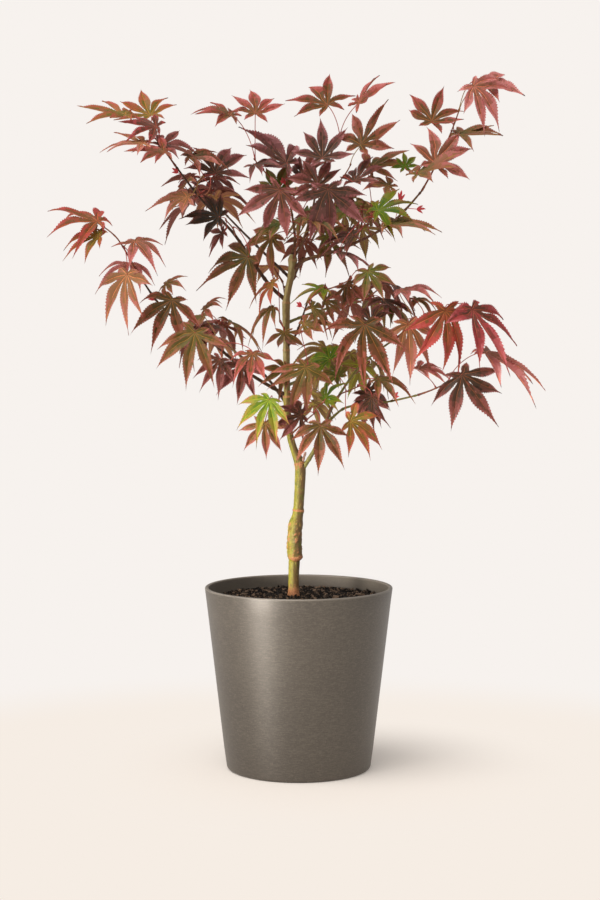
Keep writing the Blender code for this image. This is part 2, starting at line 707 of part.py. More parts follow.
def shade_twigs(limb, share, heading, rise, forks, random_source):
    """A stem and its forks, which leave it left and right in turn."""
    foot = point_along(limb["path"], share)
    stem = [foot + heading_vector(heading, rise) * SHADE_STEM * step for step in (0.5, 1.0)]
    twigs = [stem]
    for fork in range(forks):
        side = 1 if fork % 2 else -1
        turned = heading + side * random_source.uniform(*SHADE_FORK_TURN)
        start = stem[fork % 2]
        way = heading_vector(turned, rise + random_source.uniform(-30, 30))
        twigs.append([start + way * SHADE_STEM * SHADE_FORK * step for step in (0.5, 1.0)])
    return twigs


def shade_leaves(buds, box, tints, blocked, random_source):
    """Two leaves at each bud, on the first stalks tried that keep to the box and touch nothing."""
    placed = []
    blocked = list(blocked)
    for bud in buds:
        for side in (-1, 1):
            for _ in range(SHADE_TRIES):
                out = math.degrees(math.atan2(bud.y, bud.x))
                heading = out + side * random_source.uniform(20, 110)
                stalk = heading_vector(heading, random_source.uniform(-15, 40))
                hub = bud + stalk * random_source.uniform(*SHADE_STALK)
                axes = level_axes(
                    heading + random_source.uniform(-20, 20),
                    random_source.uniform(10, 50),
                    random_source.uniform(-35, 35),
                )
                reach = random_source.uniform(*SHADE_REACH)
                if fits_box(hub, axes, reach, box) and leaf_is_free(bud, hub, axes, reach, blocked):
                    placed.append(Leaf(bud, hub, axes, reach, random_source.choice(tints)))
                    blocked.append(blade_tree(hub, axes, reach))
                    break
    return placed


def make_mass(name, paths, placed):
    """One solid from the paths of the twigs and the places of the leaves."""
    bark = finish_of("bark_red", BARK_RED, 0.6)
    stem, *forks = [
        tube_object(name, path, taper(*TWIG_RADIUS, len(path)), TWIG_SIDES, bark) for path in paths
    ]
    solids = forks
    for bud, hub, axes, reach, tint in placed:
        mesh = bmesh.new()
        leaf(mesh, hub, axes, reach, LEAF_THICKNESS)
        solids.append(new_object("leaf", finish_mesh(mesh, "leaf"), finish_of(tint, TINTS[tint], 0.5)))
        stalk = [bud, hub - axes[0] * STALK_SHORT_OF_HUB]
        solids.append(tube_object("stalk", stalk, STALK_RADIUS, TWIG_SIDES, bark))
    stem.name = name
    fuse(stand(stem), solids)
    return stem


def main():
    for item in list(bpy.data.objects):
        bpy.data.objects.remove(item)
    make_pot()
    make_soil()
    limbs = {}
    make_trunk(limbs)
    make_boughs(limbs)
    blocked = [limb["tree"] for limb in limbs.values()]
    for name, (parent, share, twigs, leaves) in FOLIAGE.items():
        paths = grow_twigs(limbs[parent], share, twigs)
        placed = place_leaves(leaves, buds_of(paths), blocked)
        blocked.append(tree_of(make_mass(name, paths, placed)))
    for name, (parent, share, heading, rise, forks, box, tints, seed) in SHADE_FOLIAGE.items():
        random_source = random.Random(seed)
        twigs = shade_twigs(limbs[parent], share, heading, rise, forks, random_source)
        paths = grow_twigs(limbs[parent], share, twigs)
        placed = shade_leaves(buds_of(paths), box, tints, blocked, random_source)
        blocked.append(tree_of(make_mass(name, paths, placed)))


main()
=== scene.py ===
"""A young grafted Japanese maple in a plain tapered pot, dressed in Blender 4.5 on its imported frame.

Metres, +Z up, with the front of the tree towards -Y. Sizes and tables are millimetres until a mesh is
built. The limbs and leaves repeat the part's own rule, and each leaf stands where its solid has one.
"""

import itertools
import math
import random

import bmesh
import bpy
import numpy as np
from mathutils import Matrix, Vector, noise
from mathutils.bvhtree import BVHTree


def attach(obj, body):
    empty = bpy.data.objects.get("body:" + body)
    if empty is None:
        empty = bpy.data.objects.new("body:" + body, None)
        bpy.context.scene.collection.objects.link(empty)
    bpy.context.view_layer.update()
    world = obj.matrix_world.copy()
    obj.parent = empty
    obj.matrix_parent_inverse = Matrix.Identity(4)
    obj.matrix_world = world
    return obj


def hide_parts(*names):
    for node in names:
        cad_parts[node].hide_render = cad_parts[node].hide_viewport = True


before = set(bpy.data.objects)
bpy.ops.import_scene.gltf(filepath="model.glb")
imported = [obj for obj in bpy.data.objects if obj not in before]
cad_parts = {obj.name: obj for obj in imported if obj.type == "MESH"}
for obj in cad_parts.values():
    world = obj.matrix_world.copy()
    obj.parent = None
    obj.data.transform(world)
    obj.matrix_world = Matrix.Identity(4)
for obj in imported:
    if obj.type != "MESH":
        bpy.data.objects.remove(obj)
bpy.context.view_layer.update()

# ---------------------------------------------------------------------------------------------------
# The pot: one tapered shell with the look of stoneware, in a warm grey-brown body with a fine speckle
# and rounded at its rim and base. It is turned from its profile, and stands on its flat underside.

MM = 0.001
POT_HEIGHT = 214.0
RIM_RADIUS = 110.0
BASE_RADIUS = 85.0
POT_WALL = 4.5
POT_FLOOR = 6.0
RIM_ROUND = 1.6
BASE_ROUND = 4.0
INNER_ROUND = 5.0  # where the wall meets the floor
POT_TURNS = 160
ARC_STEPS = 5


class Wire:
    """A socket in a node tree. Python's operators join it to Math nodes."""

    def __init__(self, tree, socket):
        self.tree = tree
        self.socket = socket

    def add(self, kind, inputs, out=0, **settings):
        """An output of a new node, whose settings come first, and then its values and wires."""
        made = self.tree.nodes.new(kind)
        for setting, value in settings.items():
            setattr(made, setting, value)
        for socket, value in inputs.items():
            if isinstance(value, Wire):
                self.tree.links.new(made.inputs[socket], value.socket)
            else:
                made.inputs[socket].default_value = value
        return Wire(self.tree, made.outputs[out])

    def math(self, operation, first, second=0.0):
        return self.add("ShaderNodeMath", {0: first, 1: second}, operation=operation)

    def __add__(self, other):
        return self.math("ADD", self, other)

    def __sub__(self, other):
        return self.math("SUBTRACT", self, other)

    def __rsub__(self, other):
        return self.math("SUBTRACT", other, self)

    def __mul__(self, other):
        return self.math("MULTIPLY", self, other)

    __radd__ = __add__
    __rmul__ = __mul__

    def vector(self, operation, other=(0.0, 0.0, 0.0)):
        """Vector Math on this vector. Its length comes out as a value."""
        out = 1 if operation == "LENGTH" else 0
        return self.add("ShaderNodeVectorMath", {0: self, 1: other}, out, operation=operation)

    def between(self, low, high):
        """0 up to the low value, 1 from the high one on, and smooth in between."""
        inputs = {0: self, 1: low, 2: high}
        return self.add("ShaderNodeMapRange", inputs, interpolation_type="SMOOTHSTEP")

    def mix(self, first, second):
        """The first colour where this is 0, and the second where it is 1."""
        return self.add("ShaderNodeMix", {0: self, 6: first, 7: second}, 2, data_type="RGBA")

    def under(self, *coats):
        """This colour under coats: each has a mask, the values it rises between, a strength, a tone."""
        colour = self
        for mask, low, high, strength, tone in coats:
            colour = (mask.between(low, high) * strength).mix(colour, paint(*tone))
        return colour

    def grain(self, scale, detail=3.0, rough=0.55):
        """Noise over this vector, at so many features to the metre."""
        inputs = {"Vector": self, "Scale": scale, "Detail": detail, "Roughness": rough}
        return self.add("ShaderNodeTexNoise", inputs)

    def part(self, axis):
        return self.add("ShaderNodeSeparateXYZ", {0: self}, "XYZ".index(axis))

    def bump(self, depth, strength):
        return self.add("ShaderNodeBump", {"Strength": strength, "Distance": depth, "Height": self})


def paint(red, green, blue):
    """A colour as it looks on a screen, each part from 0 to 255, turned into Blender's linear light."""
    parts = (part / 255 for part in (red, green, blue))
    return (*(((p + 0.055) / 1.055) ** 2.4 if p > 0.04 else p / 12.92 for p in parts), 1.0)


def new_finish(name, **plain):
    """A Principled material with plain values on its sockets, and its Object coordinates as a wire."""
    material = bpy.data.materials.new(name)
    material.use_nodes = True
    shader = material.node_tree.nodes["Principled BSDF"]
    for socket, value in plain.items():
        shader.inputs[socket.replace("_", " ")].default_value = value
    place = material.node_tree.nodes.new("ShaderNodeTexCoord")
    return material, Wire(material.node_tree, place.outputs["Object"])


def wire_up(material, **wires):
    """Joins wires to the shader's sockets of those names."""
    shader = material.node_tree.nodes["Principled BSDF"]
    for socket, wire in wires.items():
        material.node_tree.links.new(shader.inputs[socket.replace("_", " ")], wire.socket)
    return material


def link(name, data):
    """An object in the scene that holds this mesh, light or camera."""
    made = bpy.data.objects.new(name, data)
    bpy.context.scene.collection.objects.link(made)
    return made


def as_seen(obj):
    """The mesh that an object's modifiers make of it. The object itself is taken away."""
    made = bpy.data.meshes.new_from_object(obj.evaluated_get(bpy.context.evaluated_depsgraph_get()))
    bpy.data.objects.remove(obj)
    return made


def stand(name, data, slot, *nodes):
    """Puts a finished mesh in the scene as a piece of the plant, in place of these solids."""
    piece = link(name, data)
    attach(piece, "root")
    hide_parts(*nodes)


def arc(right, up, radius, first, last):
    """Profile points round part of a circle with this middle, from one angle to the other."""
    angles = np.radians(np.linspace(first, last, ARC_STEPS + 1))
    return [(right + radius * math.cos(angle), up + radius * math.sin(angle)) for angle in angles]


def turned(name, profile, turns):
    """The closed mesh of a profile spun round Z. It runs up its inner side and down its outer one."""
    data = bpy.data.meshes.new(name + "_profile")
    spots = [(radius * MM, 0, height * MM) for radius, height in profile]
    data.from_pydata(spots, [(index, index + 1) for index in range(len(spots) - 1)], [])
    spun = link(name + "_profile", data)
    screw = spun.modifiers.new("turn", "SCREW")
    screw.steps = screw.render_steps = turns
    screw.use_merge_vertices = True
    screw.merge_threshold = 0.00001
    made = as_seen(spun)
    mesh = bmesh.new()
    mesh.from_mesh(made)
    bmesh.ops.recalc_face_normals(mesh, faces=mesh.faces)
    mesh.to_mesh(made)
    mesh.free()
    made.name = name
    return made


pot_slope = (RIM_RADIUS - BASE_RADIUS) / POT_HEIGHT
inner_base = BASE_RADIUS - POT_WALL
inner_foot = inner_base + pot_slope * POT_FLOOR
inner_corner = POT_FLOOR + INNER_ROUND
rim_level = POT_HEIGHT - RIM_ROUND
wall_lean = math.degrees(math.atan(pot_slope))
profile = [(0, POT_FLOOR), (inner_foot * 0.5, POT_FLOOR)]
profile += arc(inner_foot - INNER_ROUND, inner_corner, INNER_ROUND, -90, -wall_lean)
for height in np.linspace(inner_corner, rim_level - RIM_ROUND, 9)[1:-1]:
    profile.append((inner_base + pot_slope * height, height))
profile += arc(RIM_RADIUS - POT_WALL + RIM_ROUND, rim_level, RIM_ROUND, 180, 90)
profile += arc(RIM_RADIUS - RIM_ROUND, rim_level, RIM_ROUND, 90, 0)
for height in np.linspace(rim_level, BASE_ROUND, 11)[1:-1]:
    profile.append((BASE_RADIUS + pot_slope * height, height))
profile += arc(BASE_RADIUS - BASE_ROUND, BASE_ROUND, BASE_ROUND, 0, -90)
profile += [(BASE_RADIUS * 0.5, 0), (0, 0)]

pot_finish, place = new_finish(
    "pot_ware",
    Specular_IOR_Level=0.85,
    Specular_Tint=(1.0, 0.92, 0.83, 1.0),
    IOR=1.6,
    Anisotropic=0.5,
    Anisotropic_Rotation=0.25,
)
cloud = place.grain(14.0, 4.0)
speckle = place.grain(520.0, 3.0, 0.8)
lines = place.vector("MULTIPLY", (1.0, 1.0, 6.0)).grain(150.0, 3.0, 0.7)
pits = place.grain(420.0, 3.0, 0.6)
rim_highlight_and_wear = place.part("Z").between((POT_HEIGHT - 2.5) * MM, (POT_HEIGHT - 0.2) * MM)
distance = place.vector("MULTIPLY", (1.0, 1.0, 0.0)).vector("LENGTH")
inner_wall_lit = distance * (1 / MM) - place.part("Z") * (pot_slope / MM)
inner_wall_lit = inner_wall_lit.between(inner_base + 2.5, inner_base + 1.5)
body = cloud.between(0.3, 0.7).mix(paint(59, 53, 46), paint(65, 59, 51)).under(
    (speckle, 0.54, 0.66, 0.5, (96, 88, 78)),
    (1 - speckle, 0.54, 0.66, 0.6, (40, 36, 31)),
    (lines, 0.50, 0.62, 0.35, (94, 86, 76)),
    (1 - lines, 0.50, 0.62, 0.35, (42, 37, 32)),
)
# Painted light: the inner wall is painted paler than the outside, standing in for the bounce light that
# reaches it.
body = (inner_wall_lit * 0.5).mix(body, paint(112, 103, 91))
# The rim's top edge is painted lighter: a painted highlight where it catches the light, partly wear.
body = (rim_highlight_and_wear * 0.4).mix(body, paint(150, 141, 130))
wire_up(
    pot_finish,
    Base_Color=body,
    Roughness=0.43 + cloud * 0.06 + lines * 0.08 + inner_wall_lit * 0.3,
    Normal=(pits * 0.4 + speckle * 0.3 + lines * 0.3).bump(0.0003, 0.5),
)
pot = turned("pot_shell", profile, POT_TURNS)
pot.shade_smooth()
pot.materials.append(pot_finish)
stand("pot_shell", pot, "pot", "pot")

# ---------------------------------------------------------------------------------------------------
# The compost: dark bark fines and peat, filled to just under the rim. A lumpy bed carries thousands of
# loose crumbs, which Geometry Nodes scatter over it.

SOIL_TOP = POT_HEIGHT - 11.5
BED_LUMP = 1.3
BED_FALL = 3.2  # how much lower it lies at the wall than at the stem
BED_RINGS = 56
BED_SIDES = 150
BED_LUMP_SCALE = 0.16
HEAP = (-6.0, 16.0, 1.2)  # the low heap round the stem: its middle, its spread and its height
CRUMBS = 3400  # on a flat bed: the area of this lumpy one takes nearly three times as many
CRUMB_KINDS = 5
WALL_CLEARANCE = 0.3  # crumbs that would reach into the pot's wall are drawn in this far


def mesh_of(name, points, faces, finishes, slots=None):
    """A smooth mesh from points in millimetres and lists of their numbers."""
    data = bpy.data.meshes.new(name)
    data.from_pydata((np.asarray(points) * MM).tolist(), [], faces)
    for finish in finishes:
        data.materials.append(finish)
    if slots is not None:
        data.polygons.foreach_set("material_index", slots)
    data.shade_smooth()
    data.update()
    return data


def hump(value, middle, width):
    """1 at the middle, and falling smoothly to 0 on both sides of it."""
    return np.exp(-(((value - middle) / width) ** 2))


def bands(first, rings, sides):
    """The faces between rings of points, which are numbered from the first one on."""
    faces = []
    for ring, side in itertools.product(range(rings), range(sides)):
        low = first + ring * sides
        after = (side + 1) % sides
        faces.append((low + side, low + after, low + sides + after, low + sides + side))
    return faces


bed_edge = inner_base + pot_slope * (SOIL_TOP - BED_FALL) - 0.2
bed_foot = inner_foot * 0.985
angles = np.arange(BED_SIDES) * math.tau / BED_SIDES
ring = np.stack((np.cos(angles), np.sin(angles)), axis=1)
heap_at, heap_spread, heap_height = HEAP
points = [(0.0, 0.0, SOIL_TOP)]
for share in np.arange(1, BED_RINGS + 1) / BED_RINGS:
    for x, y in ring * bed_edge * share:
        lump = BED_LUMP * noise.fractal(Vector((x, y, 0)) * BED_LUMP_SCALE, 0.6, 2.1, 4)
        heap = heap_height * hump(x, heap_at, heap_spread) * hump(y, 0, heap_spread)
        points.append((x, y, SOIL_TOP - 0.6 + lump + heap - BED_FALL * share**2.5))
foot = len(points)
points += [(x, y, POT_FLOOR + 1.5) for x, y in ring * bed_foot]
faces = [(0, 1 + side, 1 + (side + 1) % BED_SIDES) for side in range(BED_SIDES)]
faces += [(a, d, c, b) for a, b, c, d in bands(1, BED_RINGS, BED_SIDES)]
faces.append(tuple(range(foot + BED_SIDES - 1, foot - 1, -1)))


def read_mark(place, name):
    """A value that the mesh keeps for each of its points under this name."""
    return place.add("ShaderNodeAttribute", {}, 2, attribute_name=name)


def compost_finish(name, dark, light, dry):
    """Compost from near black to brown by its stored tone, random for each crumb, with fibrous dry flecks
    on lighter crumbs. Without a tone, the bed stays near black.
    """
    made, place = new_finish(name, Specular_IOR_Level=0.1)
    fine = place.grain(1500.0, 3.0, 0.65)
    broad = place.grain(260.0, 4.0, 0.6)
    tone = read_mark(place, "tone")
    body = (tone * tone * tone + (broad - 0.5) * 0.4).between(0.2, 0.95)
    body = body.mix(paint(*dark), paint(*light))
    body = (fine.between(0.54, 0.68) * 0.8 * tone).mix(body, paint(*dry))
    relief = (fine + broad * 0.5).bump(0.0006, 0.9)
    return wire_up(made, Base_Color=body, Roughness=0.5 + fine * 0.4, Normal=relief)


# The bed under the crumbs is painted near black: partly the compost's own dark colour, partly painted
# shade in the gaps between crumbs.
bed_dark_and_shade_finish = compost_finish("compost_bed_dark_and_shade", (8, 6, 5), (24, 17, 13), (50, 38, 30))
crumb_finish = compost_finish("compost_crumb", (9, 6, 5), (118, 96, 79), (196, 168, 142))
bed = mesh_of("compost_bed", points, faces, [bed_dark_and_shade_finish])
stand("compost_bed", bed, "soil", "soil")


def scatter_tree(finish):
    """Scatters turned and squeezed lumps of a few kinds over the faces that look up."""
    tree = bpy.data.node_groups.new("crumb_scatter", "GeometryNodeTree")
    kinds = {"Bed": "Geometry", "Number": "Int", "Smallest": "Float", "Largest": "Float"}
    for name, kind in kinds.items():
        tree.interface.new_socket(name=name, in_out="INPUT", socket_type="NodeSocket" + kind)
    tree.interface.new_socket(name="Crumbs", in_out="OUTPUT", socket_type="NodeSocketGeometry")
    entry = tree.nodes.new("NodeGroupInput")
    bed_in, number, smallest, largest = (Wire(tree, socket) for socket in entry.outputs[:4])

    def chosen(lowest, highest, seed, first=2, out=1, kind="FLOAT"):
        """A random value, or a random vector, for each crumb."""
        inputs = {first: lowest, first + 1: highest, "Seed": seed}
        return bed_in.add("FunctionNodeRandomValue", inputs, out, data_type=kind)

    level = bed_in.math("GREATER_THAN", bed_in.add("GeometryNodeInputNormal", {}).part("Z"), 0.3)
    density = number * (1 / (math.pi * (bed_edge * MM) ** 2))
    inputs = {"Mesh": bed_in, "Selection": level, "Density": density, "Seed": 7}
    scattered = bed_in.add("GeometryNodeDistributePointsOnFaces", inputs)
    lumps = tree.nodes.new("GeometryNodeJoinGeometry")
    for kind in range(CRUMB_KINDS):
        ball = bed_in.add("GeometryNodeMeshIcoSphere", {"Radius": 1.0, "Subdivisions": 1})
        inputs = {"Vector": bed_in.add("GeometryNodeInputPosition", {}), "W": 3.7 * kind, "Scale": 1.3}
        knock = ball.add("ShaderNodeTexNoise", inputs, 1, noise_dimensions="4D")
        knock = knock.vector("SUBTRACT", (0.5, 0.5, 0.5))
        push = knock.add("ShaderNodeVectorMath", {0: knock, 3: 1.5}, operation="SCALE")
        lump = ball.add("GeometryNodeSetPosition", {"Geometry": ball, "Offset": push})
        flat = (1.0, 0.5 + 0.1 * kind, 0.45) if kind < CRUMB_KINDS - 1 else (1.5, 0.45, 0.35)
        lump = lump.add("GeometryNodeTransform", {"Geometry": lump, "Scale": flat})
        tree.links.new(lumps.inputs[0], lump.add("GeometryNodeGeometryToInstance", {0: lump}).socket)
    size = chosen(0.0, 1.0, 5)
    inputs = {
        "Points": scattered,
        "Instance": Wire(tree, lumps.outputs[0]),
        "Pick Instance": True,
        "Rotation": chosen((-0.8, -0.8, 0.0), (0.8, 0.8, math.tau), 3, 0, 0, "FLOAT_VECTOR"),
        "Scale": smallest + size * size * (largest - smallest),
    }
    placed = bed_in.add("GeometryNodeInstanceOnPoints", inputs)
    inputs = {"Geometry": placed, "Name": "tone", "Value": chosen(0.0, 1.0, 9)}
    toned = placed.add("GeometryNodeStoreNamedAttribute", inputs, data_type="FLOAT", domain="INSTANCE")
    loose = placed.add("GeometryNodeRealizeInstances", {"Geometry": toned})
    dressed = loose.add("GeometryNodeSetMaterial", {"Geometry": loose, "Material": finish})
    tree.links.new(tree.nodes.new("NodeGroupOutput").inputs[0], dressed.socket)
    return tree


spread = link("compost_spread", bed.copy())
scatter = spread.modifiers.new("scatter", "NODES")
scatter.node_group = scatter_tree(crumb_finish)
sizes = {"Number": CRUMBS, "Smallest": 1.4 * MM, "Largest": 4.2 * MM}
for item in scatter.node_group.interface.items_tree:
    if item.name in sizes:
        scatter[item.identifier] = sizes[item.name]
crumbs = as_seen(spread)
crumbs.name = "compost_crumbs"
spots = np.empty(len(crumbs.vertices) * 3)
crumbs.vertices.foreach_get("co", spots)
spots = spots.reshape(-1, 3)
out = np.hypot(spots[:, 0], spots[:, 1])
most = (inner_base + pot_slope * spots[:, 2] / MM - WALL_CLEARANCE) * MM
spots[:, :2] *= np.minimum(1.0, most / np.maximum(out, 1e-6))[:, None]
crumbs.vertices.foreach_set("co", spots.ravel())
crumbs.update()
stand("compost_crumbs", crumbs, "soil", "soil")

# ---------------------------------------------------------------------------------------------------
# The trunk: a smooth-barked young stem, grafted low down. The union bulges over an orange scar lip,
# old leaf nodes ring the stem, and its lit side is yellow-green and its shaded side grey-brown.

GAP = 0.3
TRUNK_FOOT = SOIL_TOP + GAP
TRUNK_STATIONS = (
    (0.0, -6.1, 7.6),
    (5.0, -6.1, 6.4),
    (26.0, -5.8, 6.3),
    (42.0, -5.2, 6.6),
    (47.0, -4.6, 8.6),
    (58.0, -5.2, 8.9),
    (72.0, -5.0, 8.4),
    (86.0, -3.2, 8.2),
    (93.0, -1.6, 6.6),
    (98.0, -0.6, 6.2),
    (100.5, -0.4, 7.0),
    (103.0, -0.2, 6.0),
    (125.0, 1.2, 6.1),
    (149.0, 2.2, 6.4),
    (158.0, 0.6, 6.0),
    (172.0, -5.6, 4.3),
    (187.0, -10.0, 4.0),
    (212.0, -12.8, 3.9),
    (233.0, -13.6, 4.9),
    (240.0, -13.8, 3.8),
    (287.0, -14.3, 4.1),
    (294.0, -14.4, 3.7),
    (342.0, -14.7, 4.7),
    (350.0, -14.0, 3.9),
    (371.0, -9.4, 3.9),
    (384.0, -7.6, 4.4),
    (393.0, -7.0, 5.6),
    (399.0, -6.8, 3.4),
)
TRUNK_SIDES = 36
TRUNK_SWAY = 2.0
SWAY_LENGTH = 190.0
TRUNK_RING_STEP = 0.9
SUNK = 3.0  # how deep its foot stands in the compost
COLLARS = (100.5, 156.0, 234.0, 288.0, 343.0, 392.0)  # heights of the old nodes
UNION_LIP = 45.5  # height of the graft's scar lip
UNION_MIDDLE = 66.0
UNION_SPREAD = 22.0
BEND = 152.0  # height of the scar where the stem turns
RUSTY_FOOT = 17.0


def ways_out(path, sides):
    """The ways out from a path all round each of its points, which turn with it without twisting."""
    along = np.gradient(path, axis=0)
    along /= np.linalg.norm(along, axis=1)[:, None]
    across = np.empty_like(path)
    last = np.array((0.0, 1.0, 0.0)) if abs(along[0][1]) < 0.9 else np.array((1.0, 0.0, 0.0))
    for index, way in enumerate(along):
        last = last - way * last.dot(way)
        across[index] = last = last / np.linalg.norm(last)
    angles = (np.arange(sides) * math.tau / sides)[None, :, None]
    return across[:, None] * np.cos(angles) + np.cross(along, across)[:, None] * np.sin(angles)


def sweep(path, radii, sides):
    """The points and faces of a closed tube. Radii is one value to a ring, or one to each point."""
    path = np.asarray(path, float)
    radii = np.asarray(radii, float).reshape(len(path), -1)
    points = path[:, None] + ways_out(path, sides) * radii[..., None]
    last = (len(path) - 1) * sides
    ends = [tuple(range(sides))[::-1], tuple(range(last, last + sides))]
    return points.reshape(-1, 3), bands(0, len(path) - 1, sides) + ends


def blurred(values, spread):
    """A row of values, each averaged with its neighbours."""
    reach = int(spread * 3) + 1
    weights = np.exp(-0.5 * (np.arange(-reach, reach + 1) / spread) ** 2)
    padded = np.concatenate((np.full(reach, values[0]), values, np.full(reach, values[-1])))
    return np.convolve(padded, weights / weights.sum(), "valid")


def sway_at(height):
    return TRUNK_SWAY * np.sin(np.pi * height / SWAY_LENGTH)


heights = np.arange(0, TRUNK_STATIONS[-1][0] + 0.01, TRUNK_RING_STEP)
known, rights, radii = np.array(TRUNK_STATIONS).T
right = blurred(np.interp(heights, known, rights), 3.5)
girth = blurred(np.interp(heights, known, radii), 1.4)
stem = np.stack((right, sway_at(heights), heights + TRUNK_FOOT), axis=1)
stem[0, 2] -= SUNK
facing = ways_out(stem, TRUNK_SIDES)
relief = np.empty((len(heights), TRUNK_SIDES))
rust = np.empty_like(relief)
for ring, corner in np.ndindex(relief.shape):
    height = heights[ring]
    to_right, to_back, _ = facing[ring, corner]
    x, y = to_right * girth[ring], to_back * girth[ring]
    ribs = noise.noise(Vector((x * 0.9, y * 0.9, height * 0.035)))
    warts = noise.fractal(Vector((x * 0.35, y * 0.35, height * 0.16)), 0.6, 2.0, 4)
    collar = sum(hump(height, at, 1.5) for at in COLLARS)
    at_union = math.exp(-(((height - UNION_MIDDLE) / UNION_SPREAD) ** 4))
    lip_height = UNION_LIP + 1.5 * to_back
    lip = hump(height, lip_height, 2.4) * max(0.0, 0.5 + 0.45 * to_right - 0.35 * to_back)
    crease = hump(height, lip_height - 4.0, 1.3)
    relief[ring, corner] = (
        0.10 * ribs + (0.16 + 0.75 * at_union) * warts + 1.5 * lip - 0.45 * crease + 0.28 * collar
    )
    rust[ring, corner] = min(
        1.0,
        1.3 * lip
        + 0.95 * collar
        + 0.8 * hump(height, BEND, 4.0) * max(0.0, 0.6 + warts)
        + 0.75 * at_union * max(0.0, 0.25 + warts * 1.2 - 0.3 * to_right)
        + 1.3 * max(0.0, 1 - height / RUSTY_FOOT)
        + 0.5 * max(0.0, warts - 0.35),
    )


def mark(data, name, values):
    """Keeps a value for each point of a mesh as an attribute that its material reads."""
    layer = data.attributes.new(name, "FLOAT", "POINT")
    layer.data.foreach_set("value", np.asarray(values, np.float32).ravel())


points, faces = sweep(stem, girth[:, None] + relief, TRUNK_SIDES)
trunk = mesh_of("trunk_bark", points, faces, [])
mark(trunk, "rust", rust)
# Painted light and shade: the side towards the lamps on the left is painted yellow-green and the far side
# grey-brown, partly the bark's own sun-side colour.
mark(trunk, "lit_side", np.clip(0.5 - 0.75 * facing[..., 0] + 0.12 * facing[..., 1], 0, 1))


trunk_finish, place = new_finish("trunk_bark", Specular_IOR_Level=0.4)
stretched = place.add("ShaderNodeMapping", {"Vector": place, "Scale": (1.0, 1.0, 0.22)})
streaks = stretched.grain(520.0, 4.0, 0.6)
fibre = stretched.grain(1600.0, 3.0, 0.6)
flecks = place.grain(620.0, 3.0, 0.7)
patches = place.grain(150.0, 4.0, 0.65)
shade = (read_mark(place, "lit_side") + (streaks - 0.5) * 0.9).between(0.28, 0.72)
body = shade.mix(paint(104, 80, 43), paint(144, 135, 34)).under(
    (patches, 0.52, 0.64, 0.7, (94, 102, 18)),
    (1 - patches, 0.54, 0.66, 0.6, (136, 94, 42)),
    (streaks, 0.54, 0.64, 0.6, (84, 64, 26)),
    (1 - streaks, 0.56, 0.66, 0.5, (186, 168, 84)),
    (flecks, 0.56, 0.68, 0.7, (78, 50, 26)),
)
rusty = (read_mark(place, "rust") + (flecks - 0.5) * 0.8).between(0.25, 0.85)
body = (rusty * 0.9).mix(body, paint(190, 126, 84))
body = body.under((rusty * (1 - flecks), 0.42, 0.62, 0.7, (112, 66, 40)))
# Painted light: the upper trunk, which the crown shades, is painted paler beige; partly also the younger
# bark's own paler colour.
young_and_lit_upper_trunk = place.part("Z").between(0.42, 0.50) * (0.2 + streaks * 0.7)
body = young_and_lit_upper_trunk.mix(body, shade.mix(paint(152, 128, 82), paint(236, 216, 158)))
wire_up(
    trunk_finish,
    Base_Color=body,
    Roughness=0.46 + streaks * 0.2 + rusty * 0.15,
    Normal=(streaks * 0.6 + fibre * 0.25 + flecks * 0.35).bump(0.0006, 0.7),
)
trunk.materials.append(trunk_finish)
stand("trunk_bark", trunk, "bark_green", "trunk")

# ---------------------------------------------------------------------------------------------------
# The boughs: thin young shoots that leave the trunk out of swollen collars, with a node every few
# centimetres. The low right ones are olive green, and the high left one is almost black.

BOUGHS = {
    "right_low": ("trunk", 0.362, ((17, -4, 372), (30, -9, 400), (36, -12, 420)), 2.7, 1.9),
    "right_outer": (
        "right_low", 0.78, ((52, -17, 424), (73, -22, 428), (104, -32, 432), (136, -44, 440)), 1.5, 1.0,
    ),
    "right_mid": (
        "right_low", 1.0, ((54, -13, 450), (72, -20, 474), (92, -28, 491), (112, -36, 505)), 1.6, 1.1,
    ),
    "left_low": (
        "trunk", 0.59,
        ((-61, -12, 466), (-96, -22, 497), (-138, -35, 523), (-165, -42, 551), (-184, -48, 582)), 2.2, 1.0,
    ),
    "left_high": (
        "trunk", 0.865,
        ((-34, 3, 566), (-56, 6, 597), (-76, 8, 627), (-113, 2, 665), (-142, -6, 703)), 2.3, 1.1,
    ),
    "right_high": (
        "trunk", 0.955,
        ((8, -5, 596), (40, -14, 604), (82, -22, 622), (112, -30, 641), (140, -38, 672)), 2.3, 1.1,
    ),
    "top_left": ("trunk", 1.0, ((-4, 6, 622), (-9, 9, 655), (-12, 8, 680)), 1.7, 1.1),
    "top_mid": (
        "trunk", 0.985, ((4, -2, 615), (15, -2, 648), (22, -1, 684), (30, -7, 706)), 1.6, 0.9,
    ),
    "centre": ("trunk", 0.73, ((-4, -10, 507), (4, -20, 528), (10, -28, 546)), 1.5, 1.0),
    "back_low": ("trunk", 0.62, ((0, 28, 455), (18, 66, 468), (38, 112, 472)), 1.9, 1.1),
    "back_left": ("trunk", 0.565, ((-40, 14, 462), (-70, 46, 484), (-94, 84, 502)), 1.8, 1.0),
    "back_mid": ("trunk", 0.80, ((10, 26, 532), (42, 64, 542), (70, 106, 548)), 1.8, 1.0),
    "back_high": ("trunk", 0.90, ((-2, 26, 585), (14, 66, 618), (28, 112, 646)), 1.9, 1.1),
    "back_upper_left": ("trunk", 0.93, ((-32, 30, 596), (-70, 66, 634), (-102, 96, 668)), 1.8, 1.0),
}
STUB = ((1.0, -0.6, 350.0), (3.0, -1.0, 356.0), (8.0, -2.5, 372.0))  # a dead spur in the lower fork
BOUGH_SIDES = 14
BOUGH_RING_STEP = 1.4
NODE_SPACING = 31.0
FOOT_SWELL = 0.9
SPAN_STEPS = 2
START_STEP = 0.05
START_SAMPLES = 12
